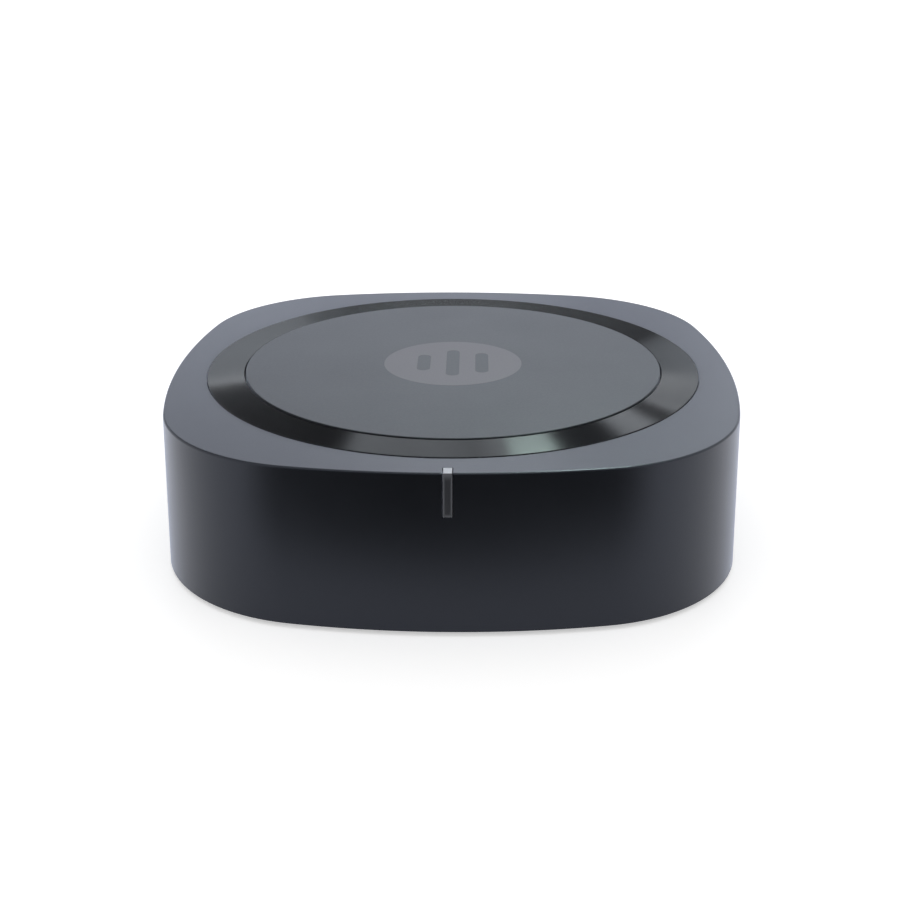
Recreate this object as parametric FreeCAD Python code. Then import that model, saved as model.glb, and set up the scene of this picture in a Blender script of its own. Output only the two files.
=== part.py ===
"""Desktop wireless audio receiver with a built-in stereo amplifier, as an assembly of separate pieces.

Millimetres. +Z is up, the front faces -Y, and the origin is the middle of the plane that the feet stand on.
"""
import FreeCAD, Part
import math
import os

V = FreeCAD.Vector
X_AXIS, Y_AXIS, Z_AXIS = V(1, 0, 0), V(0, 1, 0), V(0, 0, 1)

# Outline of the case at its top plane: four shallow side arcs and four corner arcs, all tangent
half_width = 71.4
side_radius = 190.0
corner_radius = 40.7
draft_run = 1.1            # how much further out the wall stands at its lower rim
wall = 2.2
top_thickness = 2.5
edge_radius = 0.5          # round of the top edge

# Heights
foot_height = 1.2          # rubber that shows below the case
wall_height = 37.6
rim_z = foot_height
top_z = rim_z + wall_height
ceiling_z = top_z - top_thickness

# Fits
gap = 0.15                 # between moulded pieces that drop into each other
close_gap = 0.1            # where a thin piece or a stud is located
snug = 0.05                # a screw's shank in its hole

# The outline's arc centres: each side arc's lies on the middle line, each corner arc's on the diagonal
side_centre = half_width - side_radius
corner_centre = (side_centre + math.sqrt(2 * (side_radius - corner_radius) ** 2 - side_centre ** 2)) / 2
half_angle = math.atan2(corner_centre, corner_centre - side_centre)


def wall_y(x, inset):
    """How far from the middle line the top outline, drawn in by inset, lies at a distance x along it."""
    side, corner = side_radius - inset, corner_radius - inset
    if x < side * math.sin(half_angle):
        return side_centre + math.sqrt(side ** 2 - x ** 2)
    return corner_centre + math.sqrt(corner ** 2 - (x - corner_centre) ** 2)


# Base cover
base_thickness = 2.5
base_top = rim_z + base_thickness
base_edge_gap = 0.25
lip_thickness = 1.6
lip_height = 3.0
vent_count = 9
vent_pitch = 5.0
vent_width = 2.0
vent_length = 34.0
vent_centre_y = -8.0

# Feet
foot_radius = 7.0
foot_seat_depth = 0.8
foot_inset = 36.4          # from the case's side to a foot's middle
foot_edge = 0.5
foot_place = half_width - foot_inset

# Main circuit board
board_thickness = 1.6
board_lift = 6.8           # height of the standoffs under it
board_inset = 17.4
board_bottom = base_top + board_lift
board_top = board_bottom + board_thickness
board_half_x = half_width - board_inset
board_front_y = -board_half_x
standoff_radius = 3.6
board_screw_radius = 1.25
board_screw_length = 6.0
board_screw_head_radius = 2.4
board_screw_head_height = 1.6

# Loudspeaker terminal block: spring clips with rocking levers
terminal_x = 14.0
station_pitch = 9.0
station_count = 4
lever_width = 6.8
lever_thickness = 2.2
lever_side_gap = 0.2
lever_reach = 3.0          # how far the finger tab stands out of the block's face
pivot_radius = 0.9
pivot_gap = 0.08
pivot_boss = 1.7
pivot_pin_length = 0.7     # how far the pin stands out at each side of the lever
pivot_above_board = 5.2
terminal_flange = 2.0
terminal_depth = 11.0
terminal_height = 17.0
terminal_side = 0.6
flange_margin_x = 1.6
flange_margin_z = 1.2
pivot_from_back = 2.1
wire_hole_radius = 1.6
wire_hole_above_pivot = 7.3
wire_funnel = 0.8
spring_strip = 0.4
spring_width = 5.0
spring_side_gap = 0.25
spring_leg_from_pivot = 5.3
spring_above_pivot = 10.7
spring_tail_hole = 1.1

# Network socket
lan_width = 16.1
lan_height = 13.4
lan_length = 21.0
lan_nose = 0.7             # how far it stands past the panel's face
lan_sheet = 0.4
lan_cavity_width = 11.9
lan_cavity_height = 6.9
lan_cavity_depth = 14.0
lan_cavity_above_board = 4.0
lan_latch_width = 6.2
lan_latch_height = 1.9
lan_contact_count = 8
lan_contact_pitch = 1.02

# Line input jack
aux_above_board = 3.8
aux_bore = 1.8
aux_bush_radius = 2.55
aux_bush_length = 4.0
aux_nose_radius = 3.1
aux_body_width = 7.6
aux_body_length = 12.0

# Power inlet
dc_above_board = 6.5
dc_bore = 3.15
dc_pin_radius = 1.0
dc_nose_radius = 4.1
dc_body_width = 9.0
dc_body_height = 11.0
dc_body_length = 13.0
dc_bore_depth = 10.0
dc_pin_sunk = 0.8          # how far the pin's tip stands back from the mouth
dc_root_radius = 1.4
dc_root_length = 3.0

# Pairing button and the switch behind it
button_radius = 2.0
button_gap = 0.2
button_proud = 0.7
button_flange_radius = 2.9
button_flange_thickness = 1.0
button_travel = 0.5
switch_size = 6.0
switch_leg = 0.8
switch_depth = 3.6
plunger_radius = 1.4
plunger_length = 0.9

# The row of sockets along the rear panel, each one placed from its neighbour
socket_gap = 1.2           # beside the terminal block's flange
jack_gap = 3.0             # between the small jacks, room for their plugs
terminal_half = station_pitch * station_count / 2 + terminal_side
flange_half = terminal_half + flange_margin_x
dc_x = terminal_x + flange_half + socket_gap + dc_body_width / 2
lan_x = terminal_x - flange_half - socket_gap - lan_width / 2
aux_x = lan_x - lan_width / 2 - jack_gap - aux_body_width / 2
button_x = aux_x - aux_body_width / 2 - jack_gap - (switch_size + switch_leg) / 2

# Rear bay and the flat panel that carries the sockets
bay_margin = 1.6
bay_half = max(dc_x + dc_body_width / 2, (switch_size + switch_leg) / 2 - button_x) + bay_margin
bay_top_above_terminal = 3.3
bay_top = board_top + terminal_height + bay_top_above_terminal
bay_wall = 2.0
panel_thickness = 2.0
panel_margin = 1.0         # how far the panel reaches past the bay's opening at each side and on top
panel_half = bay_half + panel_margin
panel_face_y = wall_y(panel_half, wall) - close_gap
panel_inner_y = panel_face_y - panel_thickness
jack_back_gap = 0.3        # between the panel's inner face and a jack's block
jack_front_y = panel_face_y + 0.3
jack_block_y = panel_inner_y - jack_back_gap
sill_height = 1.7          # how far the base's sill stands above the base plate
board_rear_gap = 0.9
board_rear_y = panel_inner_y - board_rear_gap
board_screw_x = board_half_x - 7.0
board_screw_front_y = board_front_y + 18.0
board_screw_rear_y = board_rear_y - 30.5

# Screws that hold the two halves of the case together, one in each corner, clear of the rear sockets
boss_radius = 4.2
boss_inset = 2.0           # from the wall's inner face to the boss
boss_past_bay = 3.5
boss_foot_lift = 2.5       # height of the seat on the base that meets each boss
pilot_radius = 1.5
screw_length = 14.0
screw_head_radius = 2.8
screw_head_height = 2.0
screw_sink = 1.2           # how deep the head stands below the base's outer face
cross_width = 0.9
screw_x = bay_half + boss_past_bay
screw_y = wall_y(screw_x, wall + boss_radius + boss_inset)
boss_foot_z = base_top + boss_foot_lift
screw_seat_z = rim_z + screw_sink + screw_head_height

# Trim ring and disc let into the top
ring_outer = 63.0
ring_width = 9.4
ring_disc_gap = 0.3
ring_proud_outer = 0.2
ring_proud_inner = 0.5
disc_proud = 0.8
disc_edge = 0.2
pocket_depth = 1.3
tape_thickness = 0.2
tape_inner = 20.0
tape_border = 4.3
ring_stud_radius = 1.0
disc_stud_radius = 1.25
disc_stud_inset = 19.3
stud_length_below_ceiling = 1.2
ring_inner = ring_outer - ring_width
disc_radius = ring_inner - ring_disc_gap

# Light pipe in the front edge
pipe_width = 2.0
pipe_drop = 10.1           # height that shows on the front wall
pipe_depth = 2.8           # depth that shows on the top
pipe_proud = 0.15
pipe_flange_thickness = 1.2
pipe_flange_left = 3.5
pipe_flange_right = 9.0
pipe_flange_drop = 12.0
pipe_flange_gap = 0.2
pipe_stem_length = 4.6
pipe_stem_height = 3.0
pipe_stem_drop = 7.5
pipe_back_y = -(half_width - pipe_depth)
flange_front_y = -(half_width - wall) + pipe_flange_gap
flange_back_y = flange_front_y + pipe_flange_thickness
stem_z = top_z - pipe_stem_drop
stem_end_y = flange_back_y + pipe_stem_length

# Small upright board behind the light pipe
led_gap = 0.3
led_thickness = 0.9
led_board_half = 13.0
led_board_thickness = 1.0
led_board_height = 15.2
post_overlap = 1.4         # how far the board's edge sits in each post's slot
post_width = 4.4
post_behind = 1.6
led_board_front_y = stem_end_y + led_gap + led_thickness
led_back_y = led_board_front_y + led_board_thickness
led_board_high_z = ceiling_z - close_gap - 0.5
led_board_low_z = led_board_high_z - led_board_height
ribbon_half = 4.0
ribbon_thickness = 0.3
plug_side = 1.2
plug_depth = 2.4
board_plug_length = 4.0
board_plug_y = board_front_y + 5.0
led_plug_z = led_board_low_z + 4.0

# Aerials on the side walls
aerial_length = 30.0
aerial_height = 8.0
aerial_thickness = 0.6
aerial_low_z = 20.0
lead_radius = 0.6

# Parts on the main board
capacitor_radius, capacitor_height = 5.8, 20.0
capacitor_first_y = -17.0
capacitor_pitch = 17.0
capacitor_x = board_half_x - capacitor_radius - 1.0
sink_width, sink_length = 38.0, 30.0
sink_base = 3.0
sink_height = 17.0
fin_count = 9
fin_thickness = 1.3
sink_pin_radius = 1.5
sink_x = capacitor_x - capacitor_radius - 2.4 - sink_width / 2
sink_y = -5.0
chip_size = 14.0
chip_height = 1.2
pad_thickness = 0.5
terminal_back_y = panel_face_y - terminal_depth
coil_size, coil_height = 11.0, 8.0
coil_corner = 2.0
coil_count = 4
coil_pitch = coil_size + 2.0
coil_first_x = lan_x + lan_width / 2 + 0.9 + coil_size / 2
coil_y = terminal_back_y - 7.4 - coil_size / 2
transformer_length = 11.0
transformer_y = panel_face_y + lan_nose - lan_length - 4.8 - transformer_length / 2
module_x, module_y = -(board_half_x - 28.0), board_front_y + 28.0
module_width, module_length, module_height = 32.0, 20.0, 1.0
shield_width, shield_length, shield_height = 24.0, 16.0, 2.2
shield_shift = 3.0


# ---------------------------------------------------------------- basic shapes

def box(x0, x1, y0, y1, z0, z1):
    return Part.makeBox(x1 - x0, y1 - y0, z1 - z0, V(x0, y0, z0))


def block(x, y, z0, width, length, height):
    """A box centred on x and y that stands on z0."""
    return box(x - width / 2, x + width / 2, y - length / 2, y + length / 2, z0, z0 + height)


def post(x, y, z0, z1, radius):
    return Part.makeCylinder(radius, z1 - z0, V(x, y, z0), Z_AXIS)


def rod_y(x, z, y0, y1, radius):
    return Part.makeCylinder(radius, y1 - y0, V(x, y0, z), Y_AXIS)


def rod_x(y, z, x0, x1, radius):
    return Part.makeCylinder(radius, x1 - x0, V(x0, y, z), X_AXIS)


def fuse(shapes):
    first, *rest = shapes
    return first.multiFuse(rest).removeSplitter() if rest else first


def cut(shape, tools):
    return shape.cut(Part.makeCompound(list(tools)))


def four_corners(x, y):
    return [(sx * x, sy * y) for sy in (-1, 1) for sx in (-1, 1)]


def outline(offset, z):
    """The case's outline as a closed wire, moved outwards by offset, at height z.

    Each side arc is drawn in two halves, so that its outermost point is a corner of the model.
    """
    side, corner = side_radius + offset, corner_radius + offset
    edges = []
    for quarter in range(4):
        turn = quarter * math.pi / 2

        def at(cx, cy, radius, angle):
            x, y = cx + radius * math.cos(angle), cy + radius * math.sin(angle)
            return V(x * math.cos(turn) - y * math.sin(turn), x * math.sin(turn) + y * math.cos(turn), z)

        def arc(cx, cy, radius, first, last):
            ends = [at(cx, cy, radius, angle) for angle in (first, (first + last) / 2, last)]
            return Part.Arc(*ends).toShape()

        edges.append(arc(side_centre, 0, side, 0, half_angle))
        edges.append(arc(corner_centre, corner_centre, corner, half_angle, math.pi / 2 - half_angle))
        edges.append(arc(0, side_centre, side, math.pi / 2 - half_angle, math.pi / 2))
    return Part.Wire(edges)


def draft_at(z):
    """How far the outer wall stands outside the top outline at height z."""
    return draft_run * (top_z - z) / wall_height


def case_block(inset, z0, z1):
    """The solid inside the case's outer surface, drawn in by inset, from z0 to z1."""
    wires = [outline(draft_at(z) - inset, z) for z in (z0, z1)]
    return Part.makeLoft(wires, True, True)


def straight_block(offset, z0, z1):
    return Part.Face(outline(offset, z0)).extrude(V(0, 0, z1 - z0))


def round_path(points):
    """Straight runs joined by tangent arcs, each arc as large as its two runs allow."""
    points = [V(*p) for p in points]
    edges, start = [], points[0]
    for before, here, after in zip(points, points[1:], points[2:]):
        one, two = (before - here), (after - here)
        run = min(one.Length, two.Length)
        one.normalize()
        two.normalize()
        turn = math.pi - one.getAngle(two)
        radius = 0.45 * run / math.tan(turn / 2)
        back = radius * math.tan(turn / 2)
        middle = one + two
        middle.normalize()
        sag = radius / math.cos(turn / 2) - radius
        entry, leave = here + one * back, here + two * back
        edges.append(Part.LineSegment(start, entry).toShape())
        edges.append(Part.Arc(entry, here + middle * sag, leave).toShape())
        start = leave
    edges.append(Part.LineSegment(start, points[-1]).toShape())
    return Part.Wire(edges)


def tube_along(points, radius):
    path = round_path(points)
    start, direction = V(*points[0]), V(*points[1]) - V(*points[0])
    ring = Part.Wire([Part.makeCircle(radius, start, direction)])
    return path.makePipeShell([ring], True, False)


def strip_yz(points, thickness, x0, x1):
    """A bent strip: a path in the YZ plane, given a thickness, and drawn out from x0 to x1."""
    path = round_path([(x0, y, z) for y, z in points])
    face = path.makeOffset2D(thickness / 2, fill=True, openResult=False, join=2)
    return face.extrude(V(x1 - x0, 0, 0))


def cross_recess(x, y, z0, z1, reach, width):
    return fuse([block(x, y, z0, 2 * reach, width, z1 - z0), block(x, y, z0, width, 2 * reach, z1 - z0)])


# ---------------------------------------------------------------- case

def bay_space():
    """The open space of the rear bay, from the panel's face out past the wall and down past the rim."""
    return box(-bay_half, bay_half, panel_face_y + close_gap, half_width + draft_run + 5, rim_z - 5, bay_top)


def light_pipe_slot():
    rear_y = -(half_width - pipe_depth - gap)
    return box(-pipe_width / 2 - gap, pipe_width / 2 + gap, -half_width - 5, rear_y,
               top_z - pipe_drop - gap, top_z + 5)


def stud_places(count, place, first_deg):
    angles = [math.radians(first_deg + k * 360.0 / count) for k in range(count)]
    return [(place * math.cos(a), place * math.sin(a)) for a in angles]


ring_studs = stud_places(4, ring_outer - ring_width / 2, 45.0)
disc_studs = stud_places(3, disc_radius - disc_stud_inset, 90.0)


def upper_housing():
    outer = case_block(0.0, rim_z, top_z)
    top_edges = [e for e in outer.Edges if all(abs(v.Z - top_z) < 1e-6 for v in e.Vertexes)]
    outer = outer.makeFillet(edge_radius, top_edges)
    hollow = case_block(wall, rim_z - 0.5, ceiling_z)
    shell = outer.cut(hollow)
    frame = box(-bay_half - bay_wall, bay_half + bay_wall, panel_face_y + close_gap,
                half_width + draft_run, base_top + gap, bay_top + bay_wall)
    frame = frame.common(case_block(wall / 2, rim_z, top_z))
    corners = four_corners(screw_x, screw_y)
    bosses = [post(x, y, boss_foot_z, ceiling_z + 0.5, boss_radius) for x, y in corners]
    post_x = led_board_half - post_overlap + post_width / 2
    post_end_y = led_back_y + post_behind
    posts = [block(s * post_x, (post_end_y - half_width + wall / 2) / 2, led_board_low_z, post_width,
                   half_width - wall / 2 + post_end_y, ceiling_z + 0.5 - led_board_low_z) for s in (-1, 1)]
    body = fuse([shell, frame] + bosses + posts)
    board_slot = box(-led_board_half - gap, led_board_half + gap, led_board_front_y - close_gap,
                     led_board_front_y + led_board_thickness + close_gap, led_board_low_z - 1,
                     led_board_high_z + close_gap)
    pilots = [post(x, y, boss_foot_z - 1, boss_foot_z + screw_length, pilot_radius) for x, y in corners]
    pocket = post(0, 0, top_z - pocket_depth, top_z + 5, ring_outer + gap)
    stud_holes = [post(x, y, ceiling_z - 1, top_z, ring_stud_radius + close_gap) for x, y in ring_studs]
    stud_holes += [post(x, y, ceiling_z - 1, top_z, disc_stud_radius + close_gap) for x, y in disc_studs]
    return cut(body, [bay_space(), light_pipe_slot(), board_slot, pocket] + pilots + stud_holes)


def base_cover():
    edge = draft_run - wall - base_edge_gap
    plate = straight_block(edge, rim_z, base_top)
    lip = straight_block(edge, base_top - 0.5, base_top + lip_height)
    lip = lip.cut(straight_block(edge - lip_thickness, base_top - 1, base_top + lip_height + 1))
    lip = lip.cut(box(-half_width, half_width, panel_inner_y - 8, half_width * 2, 0, top_z))
    sill = box(-bay_half + gap, bay_half - gap, panel_face_y + close_gap, half_width + draft_run + 5,
               rim_z, base_top + sill_height)
    sill = sill.common(case_block(0.0, rim_z, top_z))
    keepers = [block(s * (bay_half - 9), panel_inner_y - close_gap - 0.75, base_top - 0.5, 14.0, 1.5,
                     lip_height + 0.5) for s in (-1, 1)]
    seats = [post(x, y, base_top - 0.5, boss_foot_z, boss_radius) for x, y in four_corners(screw_x, screw_y)]
    standoffs = [post(x, y, base_top - 0.5, board_bottom, standoff_radius) for x, y in board_screws_at()]
    body = fuse([plate, lip, sill] + keepers + seats + standoffs)
    tools = []
    for x, y in four_corners(screw_x, screw_y):
        tools.append(post(x, y, rim_z - 1, screw_seat_z, screw_head_radius + gap))
        tools.append(post(x, y, rim_z - 1, boss_foot_z + 1, pilot_radius + gap))
    for x, y in four_corners(foot_place, foot_place):
        tools.append(post(x, y, rim_z - 1, rim_z + foot_seat_depth, foot_radius + gap))
    for x, y in board_screws_at():
        hole_z = board_bottom - board_screw_length + 1
        tools.append(post(x, y, hole_z, board_bottom + 1, board_screw_radius + snug))
    for k in range(vent_count):
        x = (k - (vent_count - 1) / 2) * vent_pitch
        slot = block(x, vent_centre_y, rim_z - 1, vent_width, vent_length, base_thickness + 2)
        ends = [post(x, vent_centre_y + s * vent_length / 2, rim_z - 1, base_top + 1, vent_width / 2)
                for s in (-1, 1)]
        tools.append(fuse([slot] + ends))
    return cut(body, tools)


def foot(x, y):
    pad = post(x, y, 0, rim_z + foot_seat_depth, foot_radius)
    rim = [e for e in pad.Edges if len(e.Vertexes) == 1 and abs(e.Vertexes[0].Z) < 1e-6]
    return pad.makeFillet(foot_edge, rim)


def case_screw(x, y):
    head_z = rim_z + screw_sink
    head = post(x, y, head_z, screw_seat_z, screw_head_radius)
    shank = post(x, y, screw_seat_z - 0.1, head_z + screw_length, pilot_radius - snug)
    return fuse([head, shank]).cut(cross_recess(x, y, head_z - 1, head_z + 1.1, 1.7, cross_width))


def rear_panel():
    plate = box(-panel_half, panel_half, panel_inner_y, panel_face_y, base_top, bay_top + panel_margin)
    low, high = board_top, board_top + terminal_height
    half_block = terminal_half + gap
    far = panel_face_y + 1
    near = panel_inner_y - 1
    tools = [box(terminal_x - half_block, terminal_x + half_block, near, far, low - gap, high + gap),
             box(lan_x - lan_width / 2 - gap, lan_x + lan_width / 2 + gap, near, far,
                 board_top - gap, board_top + lan_height + gap),
             rod_y(aux_x, board_top + aux_above_board, near, far, aux_nose_radius + gap),
             rod_y(dc_x, board_top + dc_above_board, near, far, dc_nose_radius + gap),
             rod_y(button_x, board_top + aux_above_board, near, far, button_radius + button_gap)]
    return cut(plate, tools)


def trim_ring():
    floor_z = top_z - pocket_depth
    section = [(ring_inner, floor_z), (ring_outer, floor_z), (ring_outer, top_z + ring_proud_outer),
               (ring_inner, top_z + ring_proud_inner), (ring_inner, floor_z)]
    band = Part.Face(Part.makePolygon([V(r, 0, z) for r, z in section])).revolve(V(0, 0, 0), Z_AXIS, 360)
    studs = [post(x, y, ceiling_z - stud_length_below_ceiling, floor_z + 0.2, ring_stud_radius)
             for x, y in ring_studs]
    return fuse([band] + studs)


def top_disc():
    low, high = top_z - pocket_depth + tape_thickness, top_z + disc_proud
    plate = post(0, 0, low, high, disc_radius)
    rim = [e for e in plate.Edges if len(e.Vertexes) == 1 and abs(e.Vertexes[0].Z - high) < 1e-6]
    plate = plate.makeFillet(disc_edge, rim)
    studs = [post(x, y, ceiling_z - stud_length_below_ceiling, low + 0.2, disc_stud_radius)
             for x, y in disc_studs]
    return fuse([plate] + studs)


def top_disc_tape():
    low = top_z - pocket_depth
    pad = post(0, 0, low, low + tape_thickness, disc_radius - tape_border)
    holes = [post(x, y, low - 1, low + 1, disc_stud_radius + close_gap) for x, y in disc_studs]
    return cut(pad, [post(0, 0, low - 1, low + 1, tape_inner)] + holes)


# ---------------------------------------------------------------- front light

def light_pipe():
    low = top_z - pipe_drop
    bar = box(-pipe_width / 2, pipe_width / 2, -half_width - 5, pipe_back_y, low, top_z + pipe_proud)
    neck = box(-pipe_width / 2, pipe_width / 2, -half_width - 5, flange_back_y, low, ceiling_z - gap)
    grown = Part.makeLoft([outline(draft_at(z) + pipe_proud, z) for z in (rim_z, top_z)]
                          + [outline(pipe_proud, top_z + pipe_proud)], True, True)
    bar = bar.fuse(neck).common(grown)
    flange = box(-pipe_flange_left, pipe_flange_right, flange_front_y, flange_back_y,
                 ceiling_z - gap - pipe_flange_drop, ceiling_z - gap)
    stem = box(-pipe_width / 2, pipe_width / 2, flange_back_y - 0.1, stem_end_y,
               stem_z - pipe_stem_height / 2, stem_z + pipe_stem_height / 2)
    return fuse([bar, flange, stem])


def led_board():
    return box(-led_board_half, led_board_half, led_board_front_y, led_board_front_y + led_board_thickness,
               led_board_low_z, led_board_high_z)


def status_led():
    return box(-1.0, 1.0, led_board_front_y - led_thickness, led_board_front_y, stem_z - 1.6, stem_z + 1.6)


def ir_receiver():
    x, z = 6.0, stem_z - 1.5
    case = box(x - 2.5, x + 2.5, led_board_front_y - 2.8, led_board_front_y, z - 3.5, z + 3.5)
    dome = Part.makeSphere(2.0, V(x, led_board_front_y - 2.8, z + 0.6))
    return fuse([case, dome])


def led_board_connector():
    half = ribbon_half + plug_side
    return box(-half, half, led_back_y, led_back_y + plug_depth, led_plug_z - 2.0, led_plug_z + 2.0)


def board_connector():
    return block(0, board_plug_y, board_top, 2 * (ribbon_half + plug_side), board_plug_length, 2.6)


def led_ribbon():
    low_z = board_top + 1.3
    mid_y = led_back_y + plug_depth / 2
    end_y = board_plug_y - board_plug_length / 2 - ribbon_thickness / 2
    points = [(mid_y, led_plug_z - 2.0 - ribbon_thickness / 2), (mid_y, low_z + 2.2), (mid_y + 2.2, low_z),
              (end_y, low_z)]
    return strip_yz(points, ribbon_thickness, -ribbon_half, ribbon_half)


# ---------------------------------------------------------------- main board

def board_screws_at():
    return [(sx * board_screw_x, y) for y in (board_screw_front_y, board_screw_rear_y) for sx in (-1, 1)]


def main_board():
    plate = box(-board_half_x, board_half_x, board_front_y, board_rear_y, board_bottom, board_top)
    plate = plate.common(straight_block(-wall - 2.0, board_bottom - 1, board_top + 1))
    low, high = board_bottom - 1, board_top + 1
    notch = boss_radius + 1.0
    far = half_width
    corner = fuse([post(screw_x, screw_y, low, high, notch),
                   box(screw_x, far, screw_y - notch, far, low, high),
                   box(screw_x - notch, far, screw_y, far, low, high)])
    left = corner.mirror(V(0, 0, 0), X_AXIS)
    tools = [corner, left, corner.mirror(V(0, 0, 0), Y_AXIS), left.mirror(V(0, 0, 0), Y_AXIS)]
    tools += [post(x, y, low, high, board_screw_radius + gap) for x, y in board_screws_at()]
    tools += [post(terminal_x + dx, spring_tail_y, low, high, spring_tail_hole) for dx in station_offsets()]
    return cut(plate, tools)


def board_screw(x, y):
    head = post(x, y, board_top, board_top + board_screw_head_height, board_screw_head_radius)
    shank = post(x, y, board_bottom - board_screw_length + 1.5, board_top + 0.1, board_screw_radius)
    recess = cross_recess(x, y, board_top + 0.6, board_top + 3, 1.4, cross_width)
    return fuse([head, shank]).cut(recess)


def amp_chip():
    return block(sink_x, sink_y, board_top, chip_size, chip_size, chip_height)


def thermal_pad():
    return block(sink_x, sink_y, board_top + chip_height, chip_size, chip_size, pad_thickness)


def amp_heatsink():
    low = board_top + chip_height + pad_thickness
    parts = [block(sink_x, sink_y, low, sink_width, sink_length, sink_base)]
    span = sink_width - fin_thickness
    for k in range(fin_count):
        x = sink_x - span / 2 + k * span / (fin_count - 1)
        fin_low = low + sink_base - 0.5
        parts.append(block(x, sink_y, fin_low, fin_thickness, sink_length, low + sink_height - fin_low))
    for sx in (-1, 1):
        parts.append(post(sink_x + sx * (sink_width / 2 - 3), sink_y, board_top, low + 0.5, sink_pin_radius))
    return fuse(parts)


def filter_coil(x, y):
    body = block(x, y, board_top, coil_size, coil_size, coil_height)
    upright = [e for e in body.Edges if abs(e.Vertexes[0].Z - e.Vertexes[1].Z) > coil_height / 2]
    return body.makeFillet(coil_corner, upright)


def bulk_capacitor(x, y):
    can = post(x, y, board_top, board_top + capacitor_height, capacitor_radius)
    groove = Part.makeTorus(capacitor_radius + 0.3, 0.7, V(x, y, board_top + 2.4), Z_AXIS)
    score = cross_recess(x, y, board_top + capacitor_height - 0.3, board_top + capacitor_height + 1,
                         capacitor_radius * 0.6, 0.5)
    return can.cut(groove).cut(score)


def wireless_module():
    return block(module_x, module_y, board_top, module_width, module_length, module_height)


def wireless_shield():
    low = board_top + module_height
    return block(module_x + shield_shift, module_y, low, shield_width, shield_length, shield_height)


def control_chip():
    return block(-16.0, 6.0, board_top, 10.0, 10.0, 1.0)


def lan_transformer():
    return block(lan_x, transformer_y, board_top, lan_width, transformer_length, 6.0)


def aerial_x():
    """The flat aerial's outer face just clears the curved wall at its two ends."""
    wall_radius = side_radius - wall
    sagitta = wall_radius - math.sqrt(wall_radius ** 2 - (aerial_length / 2) ** 2)
    return half_width - wall - sagitta - 0.2


def aerial(side):
    outer = side * aerial_x()
    inner = side * (aerial_x() - aerial_thickness)
    return box(min(outer, inner), max(outer, inner), -aerial_length / 2, aerial_length / 2,
               aerial_low_z, aerial_low_z + aerial_height)


def aerial_lead(side):
    """Thin coax from the aerial's foil, down past the board's parts and over to the radio module."""
    start_x = aerial_x() - aerial_thickness - gap
    top = aerial_low_z + aerial_height / 2
    end_x = module_x - shield_width / 2 + 1.0
    low = board_top + module_height + lead_radius + 0.2
    if side < 0:
        return tube_along([(-start_x, 0.0, top), (-start_x + 6, -1.0, top - 0.5),
                           (-start_x + 10.5, -6.0, low + 3.0), (-start_x + 15, -13.0, low + 0.4),
                           (end_x - 11, module_y + 7.5, low), (end_x, module_y + 7.0, low)], lead_radius)
    front = board_front_y + 10.5
    return tube_along([(start_x, 0.0, top), (start_x - 6.5, -2.5, top + 0.8),
                       (start_x - 9.0, -11.0, top - 2.0), (start_x - 11.5, -24.0, low + 2.5),
                       (start_x - 20.0, front + 3.5, low + 0.8),
                       (end_x + 59.0, front, low), (end_x + 39.0, front + 1.5, low + 0.5),
                       (end_x + 21.0, front, low + 0.3), (end_x + 5.0, front + 1.3, low),
                       (end_x - 0.5, module_y - 6.0, low)], lead_radius)


# ---------------------------------------------------------------- rear sockets

def lan_jack_shell():
    front = panel_face_y + lan_nose
    low, high = board_top, board_top + lan_height
    half = lan_width / 2
    case = box(lan_x - half, lan_x + half, front - lan_length, front, low, high)
    half -= lan_sheet
    inside = box(lan_x - half, lan_x + half, front - lan_length + lan_sheet, front + 1,
                 low - 1, high - lan_sheet)
    return case.cut(inside)


lan_front_y = panel_face_y + lan_nose - 0.3
lan_cavity_low = board_top + lan_cavity_above_board


def lan_cavity():
    plug = box(lan_x - lan_cavity_width / 2, lan_x + lan_cavity_width / 2, lan_front_y - lan_cavity_depth,
               lan_front_y + 1, lan_cavity_low, lan_cavity_low + lan_cavity_height)
    latch = box(lan_x - lan_latch_width / 2, lan_x + lan_latch_width / 2, lan_front_y - lan_cavity_depth,
                lan_front_y + 1, lan_cavity_low - lan_latch_height, lan_cavity_low + 0.1)
    return fuse([plug, latch])


def lan_jack_insert():
    half = lan_width / 2 - lan_sheet - 0.05
    body = box(lan_x - half, lan_x + half, lan_front_y - lan_length + 1.0, lan_front_y,
               board_top, board_top + lan_height - lan_sheet - 0.05)
    combs = [box(x - 0.3, x + 0.3, lan_front_y - lan_cavity_depth - 1.0, lan_front_y - 1.5,
                 lan_cavity_low + lan_cavity_height - 0.1, lan_cavity_low + lan_cavity_height + 1.0)
             for x in lan_contact_xs()]
    return cut(body, [lan_cavity()] + combs)


def lan_contact_xs():
    return [lan_x + (k - (lan_contact_count - 1) / 2) * lan_contact_pitch for k in range(lan_contact_count)]


def lan_jack_contacts():
    high = lan_cavity_low + lan_cavity_height
    deep = lan_front_y - lan_cavity_depth
    points = [(lan_front_y - 2.5, high + 0.6), (deep + 5.0, high + 0.6), (deep + 0.6, high - 3.2)]
    wires = [strip_yz(points, 0.35, x - 0.2, x + 0.2) for x in lan_contact_xs()]
    return Part.makeCompound(wires)


aux_z = board_top + aux_above_board


def aux_jack_body():
    front, block_front = jack_front_y, jack_block_y
    case = block(aux_x, block_front - aux_body_length / 2, board_top,
                 aux_body_width, aux_body_length, aux_body_width)
    nose = rod_y(aux_x, aux_z, block_front - 0.5, front, aux_nose_radius)
    seat = rod_y(aux_x, aux_z, front - aux_bush_length, front + 1, aux_bush_radius)
    deep = rod_y(aux_x, aux_z, block_front - aux_body_length + 1.5, front, aux_bore + 0.2)
    return cut(fuse([case, nose]), [seat, deep])


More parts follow.
